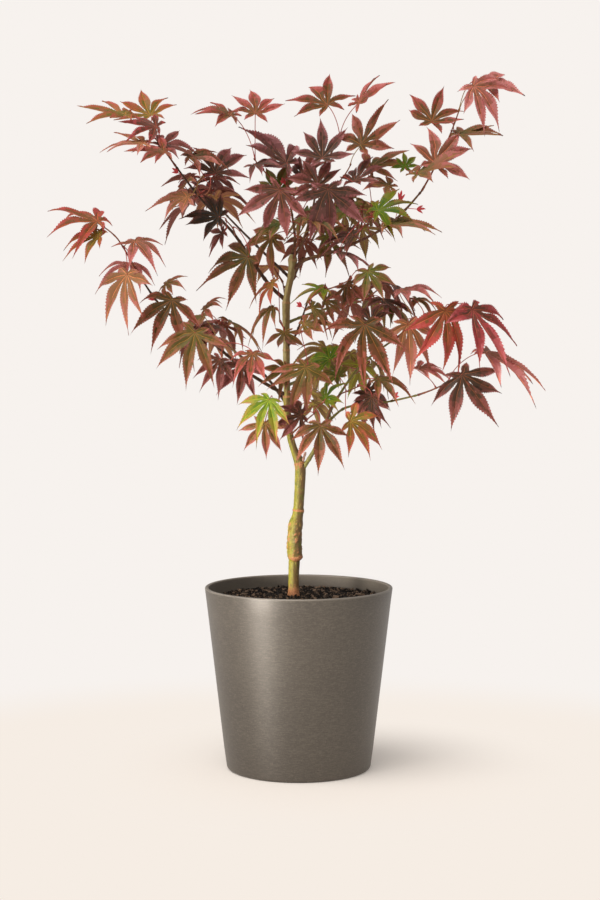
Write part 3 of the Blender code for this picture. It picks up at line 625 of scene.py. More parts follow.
BOUGH_BARKS = {
    "olive": ("right_low", "right_outer", "right_mid", "back_low", "back_mid"),
    "dark": ("left_high", "left_low", "centre", "back_upper_left", "back_left"),
    "red": ("right_high", "top_left", "top_mid", "back_high"),
}
BARK_TONES = {
    "olive": ((104, 100, 48), (134, 126, 60), (92, 66, 44)),
    "dark": ((60, 36, 22), (88, 58, 34), (44, 27, 18)),
    "red": ((98, 58, 44), (124, 92, 56), (76, 38, 32)),
}


def smooth_path(points, steps):
    """The points of a smooth curve through the given ones, with this many steps in each span."""
    ends = [points[0] * 2 - points[1], *points, points[-1] * 2 - points[-2]]
    path = []
    for index in range(1, len(ends) - 2):
        before, start, finish, after = ends[index - 1 : index + 3]
        for step in range(steps):
            t = step / steps
            path.append(
                0.5
                * (
                    2 * start
                    + (finish - before) * t
                    + (2 * before - 5 * start + 4 * finish - after) * t * t
                    + (3 * start - before - 3 * finish + after) * t * t * t
                )
            )
    return path + [points[-1]]


def length_of(path):
    return sum((b - a).length for a, b in zip(path, path[1:]))


def point_along(path, share):
    """The point this share of the way along a path."""
    left = share * length_of(path)
    for a, b in zip(path, path[1:]):
        length = (b - a).length
        if left <= length or b is path[-1]:
            return a.lerp(b, min(left / length, 1.0))
        left -= length


def tree_of_solid(name):
    """A search tree, in millimetres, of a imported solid."""
    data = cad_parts[name].data
    spots = [vertex.co / MM for vertex in data.vertices]
    return BVHTree.FromPolygons(spots, [tuple(face.vertices) for face in data.polygons])


def clearance(tree, spot):
    """How far a spot lies outside a closed shape, or less than nothing inside it."""
    surface, normal, _, distance = tree.find_nearest(spot)
    return math.copysign(distance, (spot - surface).dot(normal))


def limb_start(parent, share, target, radius):
    """Where a limb aimed at the target, from inside its parent, first clears the bark by the gap."""
    start = point_along(parent["path"], share)
    way = (target - start).normalized()
    across = way.orthogonal().normalized() * radius
    cap = [Vector()]
    for step in range(START_SAMPLES):
        cap.append(Matrix.Rotation(math.tau * step / START_SAMPLES, 3, way) @ across)
    while min(clearance(parent["tree"], start + spot) for spot in cap) < GAP:
        start = start + way * START_STEP
    return start


def evenly(path, step):
    """A path through the same places, with its points this far apart, and how far along each one is."""
    path = np.array([tuple(point) for point in path])
    gone = np.concatenate(((0,), np.cumsum(np.linalg.norm(np.diff(path, axis=0), axis=1))))
    count = max(int(gone[-1] / step), 2)
    at = np.linspace(0, gone[-1], count + 1)
    return np.stack([np.interp(at, gone, path[:, axis]) for axis in range(3)], axis=1), at


def smoothed(path, spread):
    """The path with its corners eased and both of its ends kept."""
    eased = np.stack([blurred(path[:, axis], spread) for axis in range(3)], axis=1)
    hold = np.minimum(1.0, np.minimum(np.arange(len(path)), np.arange(len(path))[::-1]) / (2 * spread))
    return path + (eased - path) * hold[:, None]


class Stock:
    """Small shapes on their way into one joined mesh."""

    def __init__(self):
        self.points = []
        self.faces = []
        self.slots = []
        self.count = 0

    def add(self, points, faces, slot=0):
        self.points.append(points)
        self.faces.extend(tuple(corner + self.count for corner in face) for face in faces)
        self.slots.extend([slot] * len(faces))
        self.count += len(points)

    def mesh(self, name, finishes):
        return mesh_of(name, np.concatenate(self.points), self.faces, finishes, self.slots)


def bark_finish(name, body, light, dark):
    """Young bark: streaked along the shoot and dotted with small corky pores."""
    made, place = new_finish(name, Specular_IOR_Level=0.3)
    streaks = place.grain(330.0, 4.0, 0.65)
    pores = place.grain(1300.0, 2.0, 0.6)
    tone = streaks.between(0.38, 0.64).mix(paint(*body), paint(*light)).under(
        (1 - streaks, 0.50, 0.66, 0.7, dark), (pores, 0.64, 0.74, 0.5, (150, 122, 92))
    )
    relief = (streaks + pores * 0.5).bump(0.0004, 0.6)
    return wire_up(made, Base_Color=tone, Roughness=0.42 + streaks * 0.25, Normal=relief)


def ringed(thick, gone, last, first, spacing, *rings):
    """A limb's radii with nodes back from its tip. A node's rings each have a height, place and width."""
    while last > first:
        for height, before, width in rings:
            thick = thick + height * hump(gone, last - before, width)
        last -= spacing()
    return thick


middle = [Vector((x, sway_at(z), TRUNK_FOOT + z)) for z, x, _ in TRUNK_STATIONS]
limbs = {"trunk": {"path": middle, "tree": tree_of_solid("trunk")}}
shoots = Stock()
barks = list(BARK_TONES)
lot = random.Random(11)
for name, (parent, share, points, foot, tip) in BOUGHS.items():
    points = [Vector(point) for point in points]
    start = limb_start(limbs[parent], share, points[0], foot)
    path = smooth_path([start, *points], SPAN_STEPS)
    limbs[name] = {"path": path, "tree": tree_of_solid("bough_" + name)}
    rooted, gone = evenly([point_along(limbs[parent]["path"], share), *path], BOUGH_RING_STEP)
    rooted = smoothed(rooted, 3.0)
    thick = foot + (tip - foot) * gone / gone[-1]
    thick = thick + FOOT_SWELL * np.exp(-gone / 5.0)
    spacing = lambda: NODE_SPACING * lot.uniform(0.8, 1.1)
    thick = ringed(thick, gone, gone[-1] - 3.0, 14.0, spacing, (0.38, 0.0, 1.5), (-0.1, 3.4, 1.6))
    rough = np.ones((len(rooted), BOUGH_SIDES))
    for ring, corner in np.ndindex(rough.shape):
        rough[ring, corner] += 0.06 * noise.noise(Vector((ring * 0.22, corner * 1.7, foot * 9)))
    thick[-1] *= 0.7
    bark = next(index for index, kind in enumerate(barks) if name in BOUGH_BARKS[kind])
    shoots.add(*sweep(rooted, thick[:, None] * rough, BOUGH_SIDES), bark)
stub, gone = evenly(STUB, 1.2)
shoots.add(*sweep(stub, 1.9 - 0.5 * gone / gone[-1] + 0.25 * np.sin(gone), BOUGH_SIDES), len(barks))
finishes = [bark_finish("bough_bark_" + kind, *tones) for kind, tones in BARK_TONES.items()]
finishes.append(bark_finish("dead_spur", (150, 112, 96), (172, 134, 118), (112, 78, 62)))
solids = ["bough_" + name for name in BOUGHS]
stand("bough_bark", shoots.mesh("bough_bark", finishes), "bark_brown", *solids)

# ---------------------------------------------------------------------------------------------------
# Where the leaves are. Each mass of foliage is a stem that forks into twigs, with stalked leaves in
# places that the part's rule gives them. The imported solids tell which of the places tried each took.

STALK_NOTCH = 0.05
SINUS_DEPTH = 0.17
LEAF_DROOP = 0.10
LEAF_SAG = 0.12
LAST_BUD = 0.96
BUD_SPACING = 16.0
TWIG_RADIUS = (0.95, 0.6)
NUDGES = (0, -5, 5, -10, 10, -16, 16, -24, 24)
ON_SOLID = 1.0  # a leaf stands here if its hub and its lobes' tips are this near its solid
SHADE_STEM = 34.0
SHADE_FORK = 0.85
SHADE_FORK_TURN = (35, 70)
SHADE_STALK = (16, 30)
SHADE_REACH = (44, 56)
SHADE_TRIES = 20
LOBES = ((-122, 0.36), (-78, 0.74), (-38, 0.94), (0, 1.0), (38, 0.94), (78, 0.74), (122, 0.36))
FOLIAGE = {
    "left_tip": ("left_low", 1.0, (((-190, -50, 592), (-205, -56, 618), (-221, -60, 631)),), (
        (-227, -55, 637, 166, 0, -66, 64, "scarlet"),
        (-224, -72, 619, 168, -13, -47, 46, "amber"),
        (-185, -50, 615, -46, 51, 37, 42, "rose"),
        (-192, -30, 590, -137, 59, -43, 46, "rose"),
        (-192, -75, 576, -101, 4, -36, 54, "salmon"),
    )),
    "left_outer": ("left_low", 0.84, (((-146, -50, 548),),), (
        (-143, -62, 548, -117, 11, -5, 52, "russet"),
        (-152, -40, 566, 15, 30, 60, 30, "bronze"),
    )),
    "left_inner": ("left_low", 0.50, (((-86, -42, 492), (-92, -66, 502)),), (
        (-116, -88, 511, -101, 8, -2, 56, "bronze"),
        (-90, -50, 480, -124, 17, -11, 36, "maroon"),
        (-64, -42, 474, -100, 16, -3, 42, "maroon"),
        (-52, -68, 488, -97, 45, -5, 38, "red"),
        (-108, -30, 538, 45, 10, 70, 32, "russet"),
    )),
    "trunk_left_low": ("trunk", 0.545, (((-26, -30, 424), (-30, -60, 428)),), (
        (-33, -92, 436, -117, 16, -8, 44, "lime"),
        (-38, -66, 409, -92, -25, 0, 42, "bronze"),
    )),
    "trunk_left_mid": ("trunk", 0.775, (((-22, -14, 524),),), (
        (-16, -34, 512, -70, -45, -15, 34, "bronze"),
        (-30, -28, 539, -150, 10, -65, 38, "bronze"),
        (-29, -32, 567, -155, -20, -60, 37, "amber"),
    )),
    "front_low": ("trunk", 0.475, (((10, -34, 412), (18, -66, 420)),), (
        (24, -108, 408, -93, 14, -1, 48, "umber"),
        (3, -62, 419, -165, 20, 20, 38, "maroon"),
        (31, -52, 436, 60, 20, 50, 34, "green"),
    )),
    "front_mid": ("trunk", 0.60, (((2, -24, 448), (12, -56, 466)),), (
        (8, -88, 473, -112, -10, 12, 50, "bronze"),
        (35, -60, 481, 150, -35, -20, 42, "green"),
        (6, -70, 520, 15, 10, 55, 40, "bronze"),
        (-16, -60, 470, -150, 20, 30, 34, "bronze"),
    )),
    "right_low": ("right_low", 0.50, (((42, -28, 436), (56, -38, 444), (70, -30, 450)),), (
        (58, -84, 412, -14, -12, 10, 44, "amber"),
        (78, -18, 443, -50, -20, 10, 44, "maroon"),
        (91, -42, 458, -12, 14, 66, 42, "bronze"),
        (46, -40, 462, 120, -10, 30, 34, "olive"),
        (84, -40, 438, -95, -10, -40, 36, "maroon"),
    )),
    "right_tip_low": ("right_outer", 1.0, (((152, -50, 446), (170, -60, 455)),), (
        (184, -72, 464, -58, -20, -20, 60, "maroon"),
        (213, -42, 488, -19, 0, 76, 74, "rose"),
        (136, -50, 471, -3, 0, 75, 40, "rose"),
    )),
    "right_red": ("right_mid", 1.0, (((126, -42, 518), (146, -52, 532), (176, -54, 540)),), (
        (165, -72, 536, -84, 2, 30, 64, "scarlet"),
        (196, -50, 537, -57, 10, 50, 70, "crimson"),
        (123, -62, 520, -82, 3, 26, 54, "salmon"),
        (118, -36, 559, 16, 0, 76, 46, "rose"),
        (134, -20, 550, -15, 10, 70, 30, "bronze"),
    )),
    "right_front": ("right_mid", 0.70, (((86, -48, 500), (80, -66, 510)),), (
        (74, -92, 520, -101, 2, -11, 62, "russet"),
        (83, -50, 521, 110, -35, 30, 46, "maroon"),
    )),
    "centre": ("centre", 1.0, (((20, -36, 556), (44, -44, 564), (60, -56, 572)),), (
        (78, -72, 580, -58, 26, 15, 38, "olive"),
        (54, -38, 566, -60, -50, 10, 42, "russet"),
        (29, -48, 560, 178, 15, -70, 36, "green"),
        (14, -62, 540, -30, -20, 60, 36, "bronze"),
        (30, -20, 548, -10, -30, 40, 40, "bronze"),
    )),
    "upper_left_tip": ("left_high", 1.0, (((-150, -10, 714), (-160, -10, 728), (-172, -8, 742)),), (
        (-198, -20, 760, 172, 0, -68, 56, "amber"),
        (-173, 20, 764, 120, -42, -21, 48, "amber"),
        (-162, -32, 745, 176, 0, -56, 42, "crimson"),
        (-176, -50, 725, 176, 0, -68, 48, "salmon"),
        (-157, -30, 724, 10, -18, 60, 48, "maroon"),
        (-151, -52, 714, 176, 0, -62, 44, "red"),
    )),
    "upper_left_mid": ("left_high", 0.78, (((-118, -8, 682), (-108, -14, 690)),), (
        (-96, -4, 695, 75, -34, 8, 52, "plum"),
        (-127, -40, 664, -174, -2, -56, 44, "salmon"),
        (-125, -20, 712, 6, -11, 61, 46, "russet"),
    )),
    "upper_left_inner": ("left_high", 0.46, (((-76, -14, 632), (-84, -24, 640)),), (
        (-91, -34, 643, 165, -9, -31, 46, "black"),
        (-58, -36, 597, -150, 0, -34, 60, "umber"),
        (-86, -20, 626, -150, -20, -60, 30, "maroon"),
    )),
    "top_left": ("top_left", 0.72, (
        ((-22, -6, 676), (-44, -4, 702), (-52, 0, 712)),
    ), (
        (-50, 0, 764, 87, -38, 2, 46, "red"),
        (-79, 20, 764, 158, 0, -70, 52, "red"),
        (-50, -22, 703, 0, 30, 70, 36, "plum"),
    )),
    "top_centre": ("top_left", 1.0, (((-14, 4, 690),),), (
        (-14, 0, 708, 142, 0, -56, 74, "plum"),
        (-25, 16, 675, 73, -33, 9, 44, "olive"),
        (4, 20, 694, 60, -15, 40, 44, "maroon"),
    )),
    "top_mid": ("top_mid", 1.0, (((40, -8, 722), (48, -10, 738)),), (
        (33, -4, 773, 131, -31, -24, 52, "red"),
        (69, -20, 774, 46, 0, 66, 50, "red"),
        (27, -22, 711, 88, -20, 1, 48, "plum"),
    )),
    "top_right": ("top_mid", 0.62, (((34, -14, 672), (52, -24, 690), (60, -26, 704)),), (
        (71, -30, 725, 57, -10, 48, 62, "russet"),
        (64, -32, 684, 50, -30, 50, 46, "maroon"),
        (22, -26, 679, 115, -29, -13, 46, "maroon"),
    )),
    "crown_front": ("trunk", 0.975, (((0, -22, 622), (4, -34, 650)), ), (
        (-21, -46, 672, -116, -8, -5, 58, "mauve"),
        (33, -62, 672, -82, -20, 0, 58, "plum"),
        (12, -46, 640, -10, -10, 70, 46, "bronze"),
        (-20, -34, 636, -172, -20, -66, 46, "olive"),
        (-30, -8, 622, -130, -10, -40, 50, "bronze"),
        (32, -10, 622, -50, -10, 40, 48, "olive"),
    )),
    "crown_right": ("right_high", 0.55, (((78, -34, 634), (84, -46, 642)),), (
        (89, -62, 648, 22, -10, 52, 50, "green"),
        (101, -50, 632, 4, 0, 74, 58, "bronze"),
        (62, -44, 622, -170, -10, -64, 46, "maroon"),
        (60, -30, 652, 172, -20, -60, 44, "olive"),
        (48, -50, 602, -20, 0, 78, 40, "plum"),
        (84, -24, 701, 34, -10, 56, 54, "bronze"),
        (104, -40, 678, 160, 0, -66, 44, "bronze"),
    )),
    "right_top": ("right_high", 1.0, (
        ((150, -40, 690), (168, -44, 726), (182, -50, 764)), ((150, -48, 704),),
    ), (
        (196, -64, 787, -38, 5, 25, 52, "rose"),
        (210, -46, 793, 12, -20, 56, 52, "rose"),
        (152, -30, 751, 76, -27, 6, 50, "red"),
        (155, -60, 701, 63, -13, 6, 56, "rose"),
        (182, -34, 738, 0, 0, 74, 62, "bronze"),
        (134, -62, 689, 26, 0, 72, 60, "bronze"),
        (122, -20, 700, 92, -20, -1, 24, "green"),
    )),
}
SHADE_FOLIAGE = {
    "back_low": (
        "back_low", 1.0, 62, 4, 3, (-20, 125, 25, 240, 376, 508), ("bronze", "olive"), 3,
    ),
    "back_left": (
        "back_left", 1.0, 130, 15, 3, (-160, -20, 15, 230, 436, 542), ("maroon", "bronze"), 5,
    ),
    "back_mid": (
        "back_mid", 1.0, 55, 8, 3, (-5, 155, 20, 235, 492, 596), ("olive", "maroon"), 8,
    ),
    "back_high": (
        "back_high", 1.0, 75, 25, 3, (-60, 125, 25, 245, 596, 728), ("maroon", "olive"), 13,
    ),
    "back_upper_left": (
        "back_upper_left", 1.0, 125, 20, 3, (-178, -52, 20, 225, 622, 740), ("plum", "bronze"), 21,
    ),
    "shade_centre": (
        "trunk", 0.985, 25, 55, 3, (-75, 105, -45, 60, 566, 680), ("olive", "maroon"), 34,
    ),
    "shade_right": (
        "right_high", 0.36, 40, 45, 2, (20, 150, -45, 60, 598, 668), ("bronze", "olive"), 55,
    ),
    "shade_back": (
        "trunk", 0.86, 100, 45, 2, (-80, 80, 5, 130, 572, 680), ("bronze", "maroon"), 144,
    ),
    "shade_back_low": (
        "trunk", 0.52, 70, 15, 2, (-22, 85, 8, 105, 392, 490), ("olive", "bronze"), 233,
    ),
    "shade_low": (
        "right_mid", 0.30, 60, 30, 2, (10, 120, -30, 60, 425, 500), ("green", "maroon"), 89,
    ),
}


def leaf_axes(clock, lean, turn):
    """The way the middle lobe points, the way across the blade, and the way its upper face looks."""
    clock, lean, turn = (math.radians(angle) for angle in (clock, lean, turn))
    across = math.cos(lean)
    along = Vector((math.cos(clock) * across, -math.sin(lean), math.sin(clock) * across))
    facing = Vector((0, -1, 0))
    facing = (facing - along * facing.dot(along)).normalized()
    facing = facing * math.cos(turn) + facing.cross(along) * math.sin(turn)
    return along, facing.cross(along), facing


def heading_vector(heading, rise):
    heading, rise = math.radians(heading), math.radians(rise)
    return Vector((
        math.cos(heading) * math.cos(rise), math.sin(heading) * math.cos(rise), math.sin(rise),
    ))


def level_axes(heading, droop, roll):
    """The axes of a blade that points out level, then droops, with its upper face to the sky."""
    along = heading_vector(heading, -droop)
    facing = heading_vector(heading, 90 - droop)
    facing.rotate(Matrix.Rotation(math.radians(roll), 3, along))
    return along, facing.cross(along), facing


def lobe_way(axes, angle):
    angle = math.radians(angle)
    return axes[0] * math.cos(angle) + axes[1] * math.sin(angle)


def fits_box(hub, axes, reach, box):
    """Whether the hub and the tips of the main lobes stay inside the mass's own space."""
    left, right, front, back, low, high = box
    spots = [hub, *(hub + lobe_way(axes, angle) * length * reach for angle, length in LOBES[1:-1])]
    return all(left <= x <= right and front <= y <= back and low <= z <= high for x, y, z in spots)


def shade_twigs(limb, share, heading, rise, forks, random_source):
    """A stem and its forks, which leave it left and right in turn."""
    foot = point_along(limb["path"], share)
    stem = [foot + heading_vector(heading, rise) * SHADE_STEM * step for step in (0.5, 1.0)]
    twigs = [stem]
    for fork in range(forks):
        side = 1 if fork % 2 else -1
        turned = heading + side * random_source.uniform(*SHADE_FORK_TURN)
        start = stem[fork % 2]
        way = heading_vector(turned, rise + random_source.uniform(-30, 30))
        twigs.append([start + way * SHADE_STEM * SHADE_FORK * step for step in (0.5, 1.0)])
    return twigs


def grow_twigs(limb, share, twigs):
    """The paths of a mass's twigs: the first is its stem, and the others fork from the stem."""
    paths = []
    for points in twigs:
        points = [Vector(point) for point in points]
        if paths:
            start = min(paths[0][1:], key=lambda spot: (spot - points[0]).length)
        else:
            start = limb_start(limb, share, points[0], TWIG_RADIUS[0])
        paths.append(smooth_path([start, *points], SPAN_STEPS))
    return paths


def buds_of(paths):
    """The places on the twigs that stalks leave: each tip, and then evenly back towards the foot."""
    buds = []
    for path in paths:
        length = length_of(path)
        for step in range(max(int(length / BUD_SPACING), 1)):
            buds.append(point_along(path, LAST_BUD - step * BUD_SPACING / length))
    return buds


def stands_here(solid, hub, axes, reach):
    """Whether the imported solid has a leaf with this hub, these axes and this reach."""
    spots = [hub]
    for angle, length in LOBES:
        bend = length * length * reach
        tip = hub + lobe_way(axes, angle) * length * reach
        spots.append(tip - axes[2] * LEAF_DROOP * bend - Vector((0, 0, LEAF_SAG * bend)))
    return all(solid.find_nearest(spot)[3] < ON_SOLID for spot in spots)


masses = {}  # each mass: its twigs' paths, and its leaves as bud, hub, axes, reach and tint
for name, (parent, share, twigs, leaves) in FOLIAGE.items():
    paths = grow_twigs(limbs[parent], share, twigs)
    buds = buds_of(paths)
    solid = tree_of_solid("foliage_" + name)
    placed = []
    for x, y, z, clock, lean, turn, reach, tint in leaves:
        axes = leaf_axes(clock, lean, turn)
        for nudge in NUDGES:
            hub = Vector((x, y + nudge, z))
            if stands_here(solid, hub, axes, reach):
                bud = min(buds, key=lambda spot: (spot - hub).length)
                placed.append((bud, hub, axes, reach, tint))
                break
    masses[name] = (limbs[parent], share, paths, placed)
for name, (parent, share, heading, rise, forks, box, tints, seed) in SHADE_FOLIAGE.items():
    lot = random.Random(seed)
    twigs = shade_twigs(limbs[parent], share, heading, rise, forks, lot)
    paths = grow_twigs(limbs[parent], share, twigs)
    solid = tree_of_solid("foliage_" + name)
    placed = []
    for bud, side in itertools.product(buds_of(paths), (-1, 1)):
        for _ in range(SHADE_TRIES):
            heading = math.degrees(math.atan2(bud.y, bud.x)) + side * lot.uniform(20, 110)
            stalk = heading_vector(heading, lot.uniform(-15, 40))
            hub = bud + stalk * lot.uniform(*SHADE_STALK)
            axes = level_axes(heading + lot.uniform(-20, 20), lot.uniform(10, 50), lot.uniform(-35, 35))
            reach = lot.uniform(*SHADE_REACH)
            if fits_box(hub, axes, reach, box) and stands_here(solid, hub, axes, reach):
                placed.append((bud, hub, axes, reach, lot.choice(tints)))
                break
    masses[name] = (limbs[parent], share, paths, placed)
mass_solids = ["foliage_" + name for name in masses]

# ---------------------------------------------------------------------------------------------------
# Twigs, leaf stalks and buds: the year's shoots are thin, smooth and reddish brown. Each leaf hangs on
# its own wiry red stalk, which arches out of a bud, and small pointed buds sit where stalks leave.

TWIG_SIDES = 8
STALK_SIDES = 6
STALK_RADII = ((0, 0.12, 0.85, 1), (0.9375, 0.5, 0.5, 0.62))  # shares of its length, and radii there
STALK_STEPS = 12
STALK_FINISHES = (0, 0, 0, 1)  # three red stalks to each olive one
BUD_LENGTH = 3.6
BUD_RADIUS = 0.95
# Each sprout of tiny new leaves: its limb, how far along it, its heading and rise, the lengths of its
# stalk and of its leaves, and how far the leaves part.
SPROUTS = (
    ("right_high", 0.85, -8, -6, 11.0, 10.5, 30),
    ("right_high", 0.74, 30, 74, 22.0, 13.0, 26),
    ("left_high", 0.93, 196, 30, 6.0, 9.0, 30),
    ("top_left", 0.97, 190, 55, 7.0, 8.5, 28),
    ("top_mid", 0.98, 20, 60, 6.0, 8.5, 30),
    ("left_low", 0.80, 170, 35, 6.0, 9.0, 30),
    ("right_mid", 0.90, 10, 40, 6.0, 8.5, 28),
    ("right_outer", 0.70, -30, 45, 6.0, 8.5, 34),
    ("centre", 0.85, 200, 30, 5.0, 8.0, 30),
)
SPROUT_WIDTH = 1.35
SPROUT_SIDES = 8


def arched(start, leaves_by, end, arrives_by, steps):
    """A curve that leaves one point and arrives at another in given directions."""
    t = np.linspace(0, 1, steps + 1)[:, None]
    start, leaves_by, end, arrives_by = map(np.array, map(tuple, (start, leaves_by, end, arrives_by)))
    knots = (start, start + leaves_by, end - arrives_by, end)
    shares = ((1 - t) ** 3, 3 * t * (1 - t) ** 2, 3 * t * t * (1 - t), t**3)
    return sum(share * knot for share, knot in zip(shares, knots))


twig_stock, stalk_stock, bud_stock = Stock(), Stock(), Stock()
lot = random.Random(29)
for name, (limb, share, paths, placed) in masses.items():
    for index, path in enumerate(paths):
        root = [point_along(limb["path"], share)] if index == 0 else []
        even, gone = evenly([*root, *path], 1.6)
        even = smoothed(even, 2.5)
        thick = TWIG_RADIUS[0] * 1.1 + (TWIG_RADIUS[1] - TWIG_RADIUS[0]) * gone / gone[-1]
        thick = thick + 0.5 * np.exp(-gone / 3.0)
        thick = ringed(thick, gone, gone[-1] - 1.0, 4.0, lambda: BUD_SPACING, (0.28, 0.0, 1.1))
        twig_stock.add(*sweep(even, thick, TWIG_SIDES))
    for bud, hub, axes, reach, _ in placed:
        gap = (hub - bud).length
        rise = Vector((0, 0, 0.32 * gap)) + (hub - bud) * 0.18
        path = arched(bud, rise, hub, axes[0] * min(0.42 * gap, 10.0), STALK_STEPS)
        thick = np.interp(np.linspace(0, 1, len(path)), *STALK_RADII)
        stalk_stock.add(*sweep(path, thick, STALK_SIDES), lot.choice(STALK_FINISHES))
        aim = Vector((lot.uniform(-0.4, 0.4), lot.uniform(-0.4, 0.4), 1))
        way = (Vector(path[1]) - bud).normalized().lerp(aim, 0.5).normalized()
        steps = np.linspace(0, 1, 6)
        body = np.array([tuple(bud + way * BUD_LENGTH * step) for step in steps])
        bud_stock.add(*sweep(body, BUD_RADIUS * np.array((0.7, 1.0, 0.95, 0.7, 0.38, 0.05)), 7))

sprout_stock = Stock()
for limb, share, heading, rise, stalk, length, opening in SPROUTS:
    path = limbs[limb]["path"]
    foot = point_along(path, share)
    way = heading_vector(heading, rise)
    joint = foot + way * stalk
    stem = arched(foot, way * 1.5, joint, way * 1.5, 6)
    sprout_stock.add(*sweep(stem, np.full(len(stem), 0.42), STALK_SIDES))
    for turn, size in ((-opening, 0.85), (4, 1.0), (opening, 0.8)):
        aim = heading_vector(heading, rise + turn)
        reach = aim * length * size
        blade = arched(joint, reach * 0.4, joint + reach, aim * 2.0 - Vector((0, 0, 1.5)), 8)
        wide = SPROUT_WIDTH * size * np.sin(np.pi * np.linspace(0, 1, len(blade)) ** 0.8) + 0.12
        around = np.arange(SPROUT_SIDES) * math.tau / SPROUT_SIDES
        flat = np.abs(np.cos(around)) * 0.3 + np.abs(np.sin(around))
        sprout_stock.add(*sweep(blade, wide[:, None] * flat[None, :], SPROUT_SIDES))

twig_finish = bark_finish("twig_bark", (122, 62, 48), (150, 92, 58), (84, 40, 34))
stalk_red = bark_finish("stalk_red", (164, 62, 58), (186, 88, 72), (130, 44, 46))
stalk_olive = bark_finish("stalk_olive", (150, 116, 62), (166, 136, 72), (134, 74, 50))
bud_finish = bark_finish("bud_scale", (120, 40, 36), (150, 66, 48), (70, 26, 26))
stand("twigs", twig_stock.mesh("twigs", [twig_finish]), "bark_brown", *mass_solids)
stand("leaf_stalks", stalk_stock.mesh("leaf_stalks", [stalk_red, stalk_olive]), "foliage", *mass_solids)
stand("buds", bud_stock.mesh("buds", [bud_finish]), "bark_brown", *mass_solids)
sprout_finish, place = new_finish("sprout_red", Base_Color=paint(214, 74, 78), Specular_IOR_Level=0.3)
fine = place.grain(900.0, 3.0, 0.6)
wire_up(sprout_finish, Roughness=0.42 + fine * 0.2, Normal=fine.bump(0.0003, 0.5))
stand("sprouts", sprout_stock.mesh("sprouts", [sprout_finish]), "foliage", *mass_solids)

# ---------------------------------------------------------------------------------------------------
# The leaves: thin papery blades cut into five long lobes and two short ones, finely toothed, folded up
# along each pale midrib and hanging from it, with long hooked tips. Autumn tints go leaf by leaf.

LOBE_FULLNESS = 0.115  # half-width of a lobe as a share of the blade's reach
LOBE_ROWS = 9
SMALL_LOBE_ROWS = 4
TOOTH_DEPTH = 0.020
TEETH = ((0, 0), (1, 0.3), (0, 0.5), (1, 0.8))  # a row's margin: 1 at a tooth's tip, and its share
ROW_SLANT = 0.30
LOBE_RISE = 1.3  # the powers that shape its margin from the notch out, and from the tip back
LOBE_FALL = 2.1
MIDDLE = 0.55  # where its middle column runs, between the midrib and the margin
PLEAT = 0.007
RIB_WIDTH = 0.0065
BLADE_THICKNESS = 0.34
RIB_DEPTH = 0.45
TINTS = {  # each tint runs from its core, round the hub, through the blade to the tips of the lobes
    "scarlet": ((140, 80, 46), (182, 72, 60), (200, 88, 84)),
    "crimson": ((114, 56, 42), (164, 62, 62), (194, 98, 98)),
    "red": ((118, 74, 42), (162, 74, 62), (194, 102, 96)),
    "rose": ((150, 92, 70), (190, 106, 100), (214, 138, 132)),
    "salmon": ((166, 112, 76), (194, 116, 98), (210, 138, 126)),
    "mauve": ((102, 64, 48), (146, 80, 74), (182, 110, 106)),
    "russet": ((94, 64, 31), (142, 76, 54), (180, 102, 89)),
    "amber": ((132, 104, 40), (172, 96, 54), (190, 88, 72)),
    "bronze": ((109, 87, 40), (149, 93, 61), (176, 99, 87)),
    "umber": ((76, 60, 22), (108, 64, 36), (150, 86, 66)),
    "maroon": ((78, 48, 32), (119, 61, 51), (153, 87, 82)),
    "plum": ((88, 58, 46), (130, 72, 68), (170, 104, 104)),
    "black": ((38, 24, 10), (60, 32, 20), (114, 60, 50)),
    "olive": ((88, 90, 28), (114, 88, 40), (156, 96, 76)),
    "green": ((82, 104, 14), (114, 116, 20), (146, 94, 48)),
    "lime": ((112, 132, 30), (152, 144, 44), (182, 124, 74)),
}
# How far the lobes of a mass are held up, as a share of the blade's reach. They lie flatter high up.
LIFTED = {
    "top_left": 0.2, "top_centre": 0.2, "top_mid": 0.2, "top_right": 0.2,
    "upper_left_tip": 0.2, "upper_left_mid": 0.15, "upper_left_inner": 0.1,
    "right_top": 0.15, "crown_front": 0.12, "crown_right": 0.12,
    "right_tip_low": 0.1, "centre": 0.08, "back_upper_left": 0.1,
    "back_high": 0.1, "shade_back": 0.1,
}
SHADE_SIZE = {"leaves_inside": 0.82, "leaves_back": 0.93}  # leaves in the shade stay smaller
GROUPS = {
    "leaves_low_left": ("left", "trunk_left"),
    "leaves_high_left": ("upper_left",),
    "leaves_top": ("top", "crown"),
    "leaves_low_right": ("right_tip_low", "right_low", "right_red", "right_front"),
    "leaves_high_right": ("right_top",),
    "leaves_middle": ("front", "centre"),
    "leaves_back": ("back",),
    "leaves_inside": ("shade",),
}


class Pattern:
    """One blade laid flat: where each point is on its lobe, and which points bound each face."""

    def __init__(self):
        self.rows = []  # lobe, along, across, freedom, pleat, layer, and its side for the veins
        self.known = {}
        self.faces = []  # corners, freedom, nearness to the margin (0 for the rib), whether it is under

    def point(self, key, row):
        if key not in self.known:
            self.known[key] = len(self.rows)
            self.rows.append(row)
        return self.known[key]

    def above(self):
        """Each point's partner on the upper face: itself, unless it is under the blade."""
        return np.array([self.known[(*key[:-1], abs(key[-1]))] for key in self.known])

    def face(self, corners, flip, *facts):
        corners = list(dict.fromkeys(corners))
        if len(corners) > 2:
            self.faces.append((tuple(corners[::-1] if flip else corners), *facts))


def sinus_beside(lobe, side):
    """Along and across of the notch between a lobe and the next, or of the stalk's notch."""
    angle = LOBES[lobe][0]
    last = not 0 <= lobe + side < len(LOBES)
    half = abs(180 * side - angle) if last else abs(LOBES[lobe + side][0] - angle) / 2
    deep = STALK_NOTCH if last else SINUS_DEPTH
    return deep * math.cos(math.radians(half)), deep * math.sin(math.radians(half))


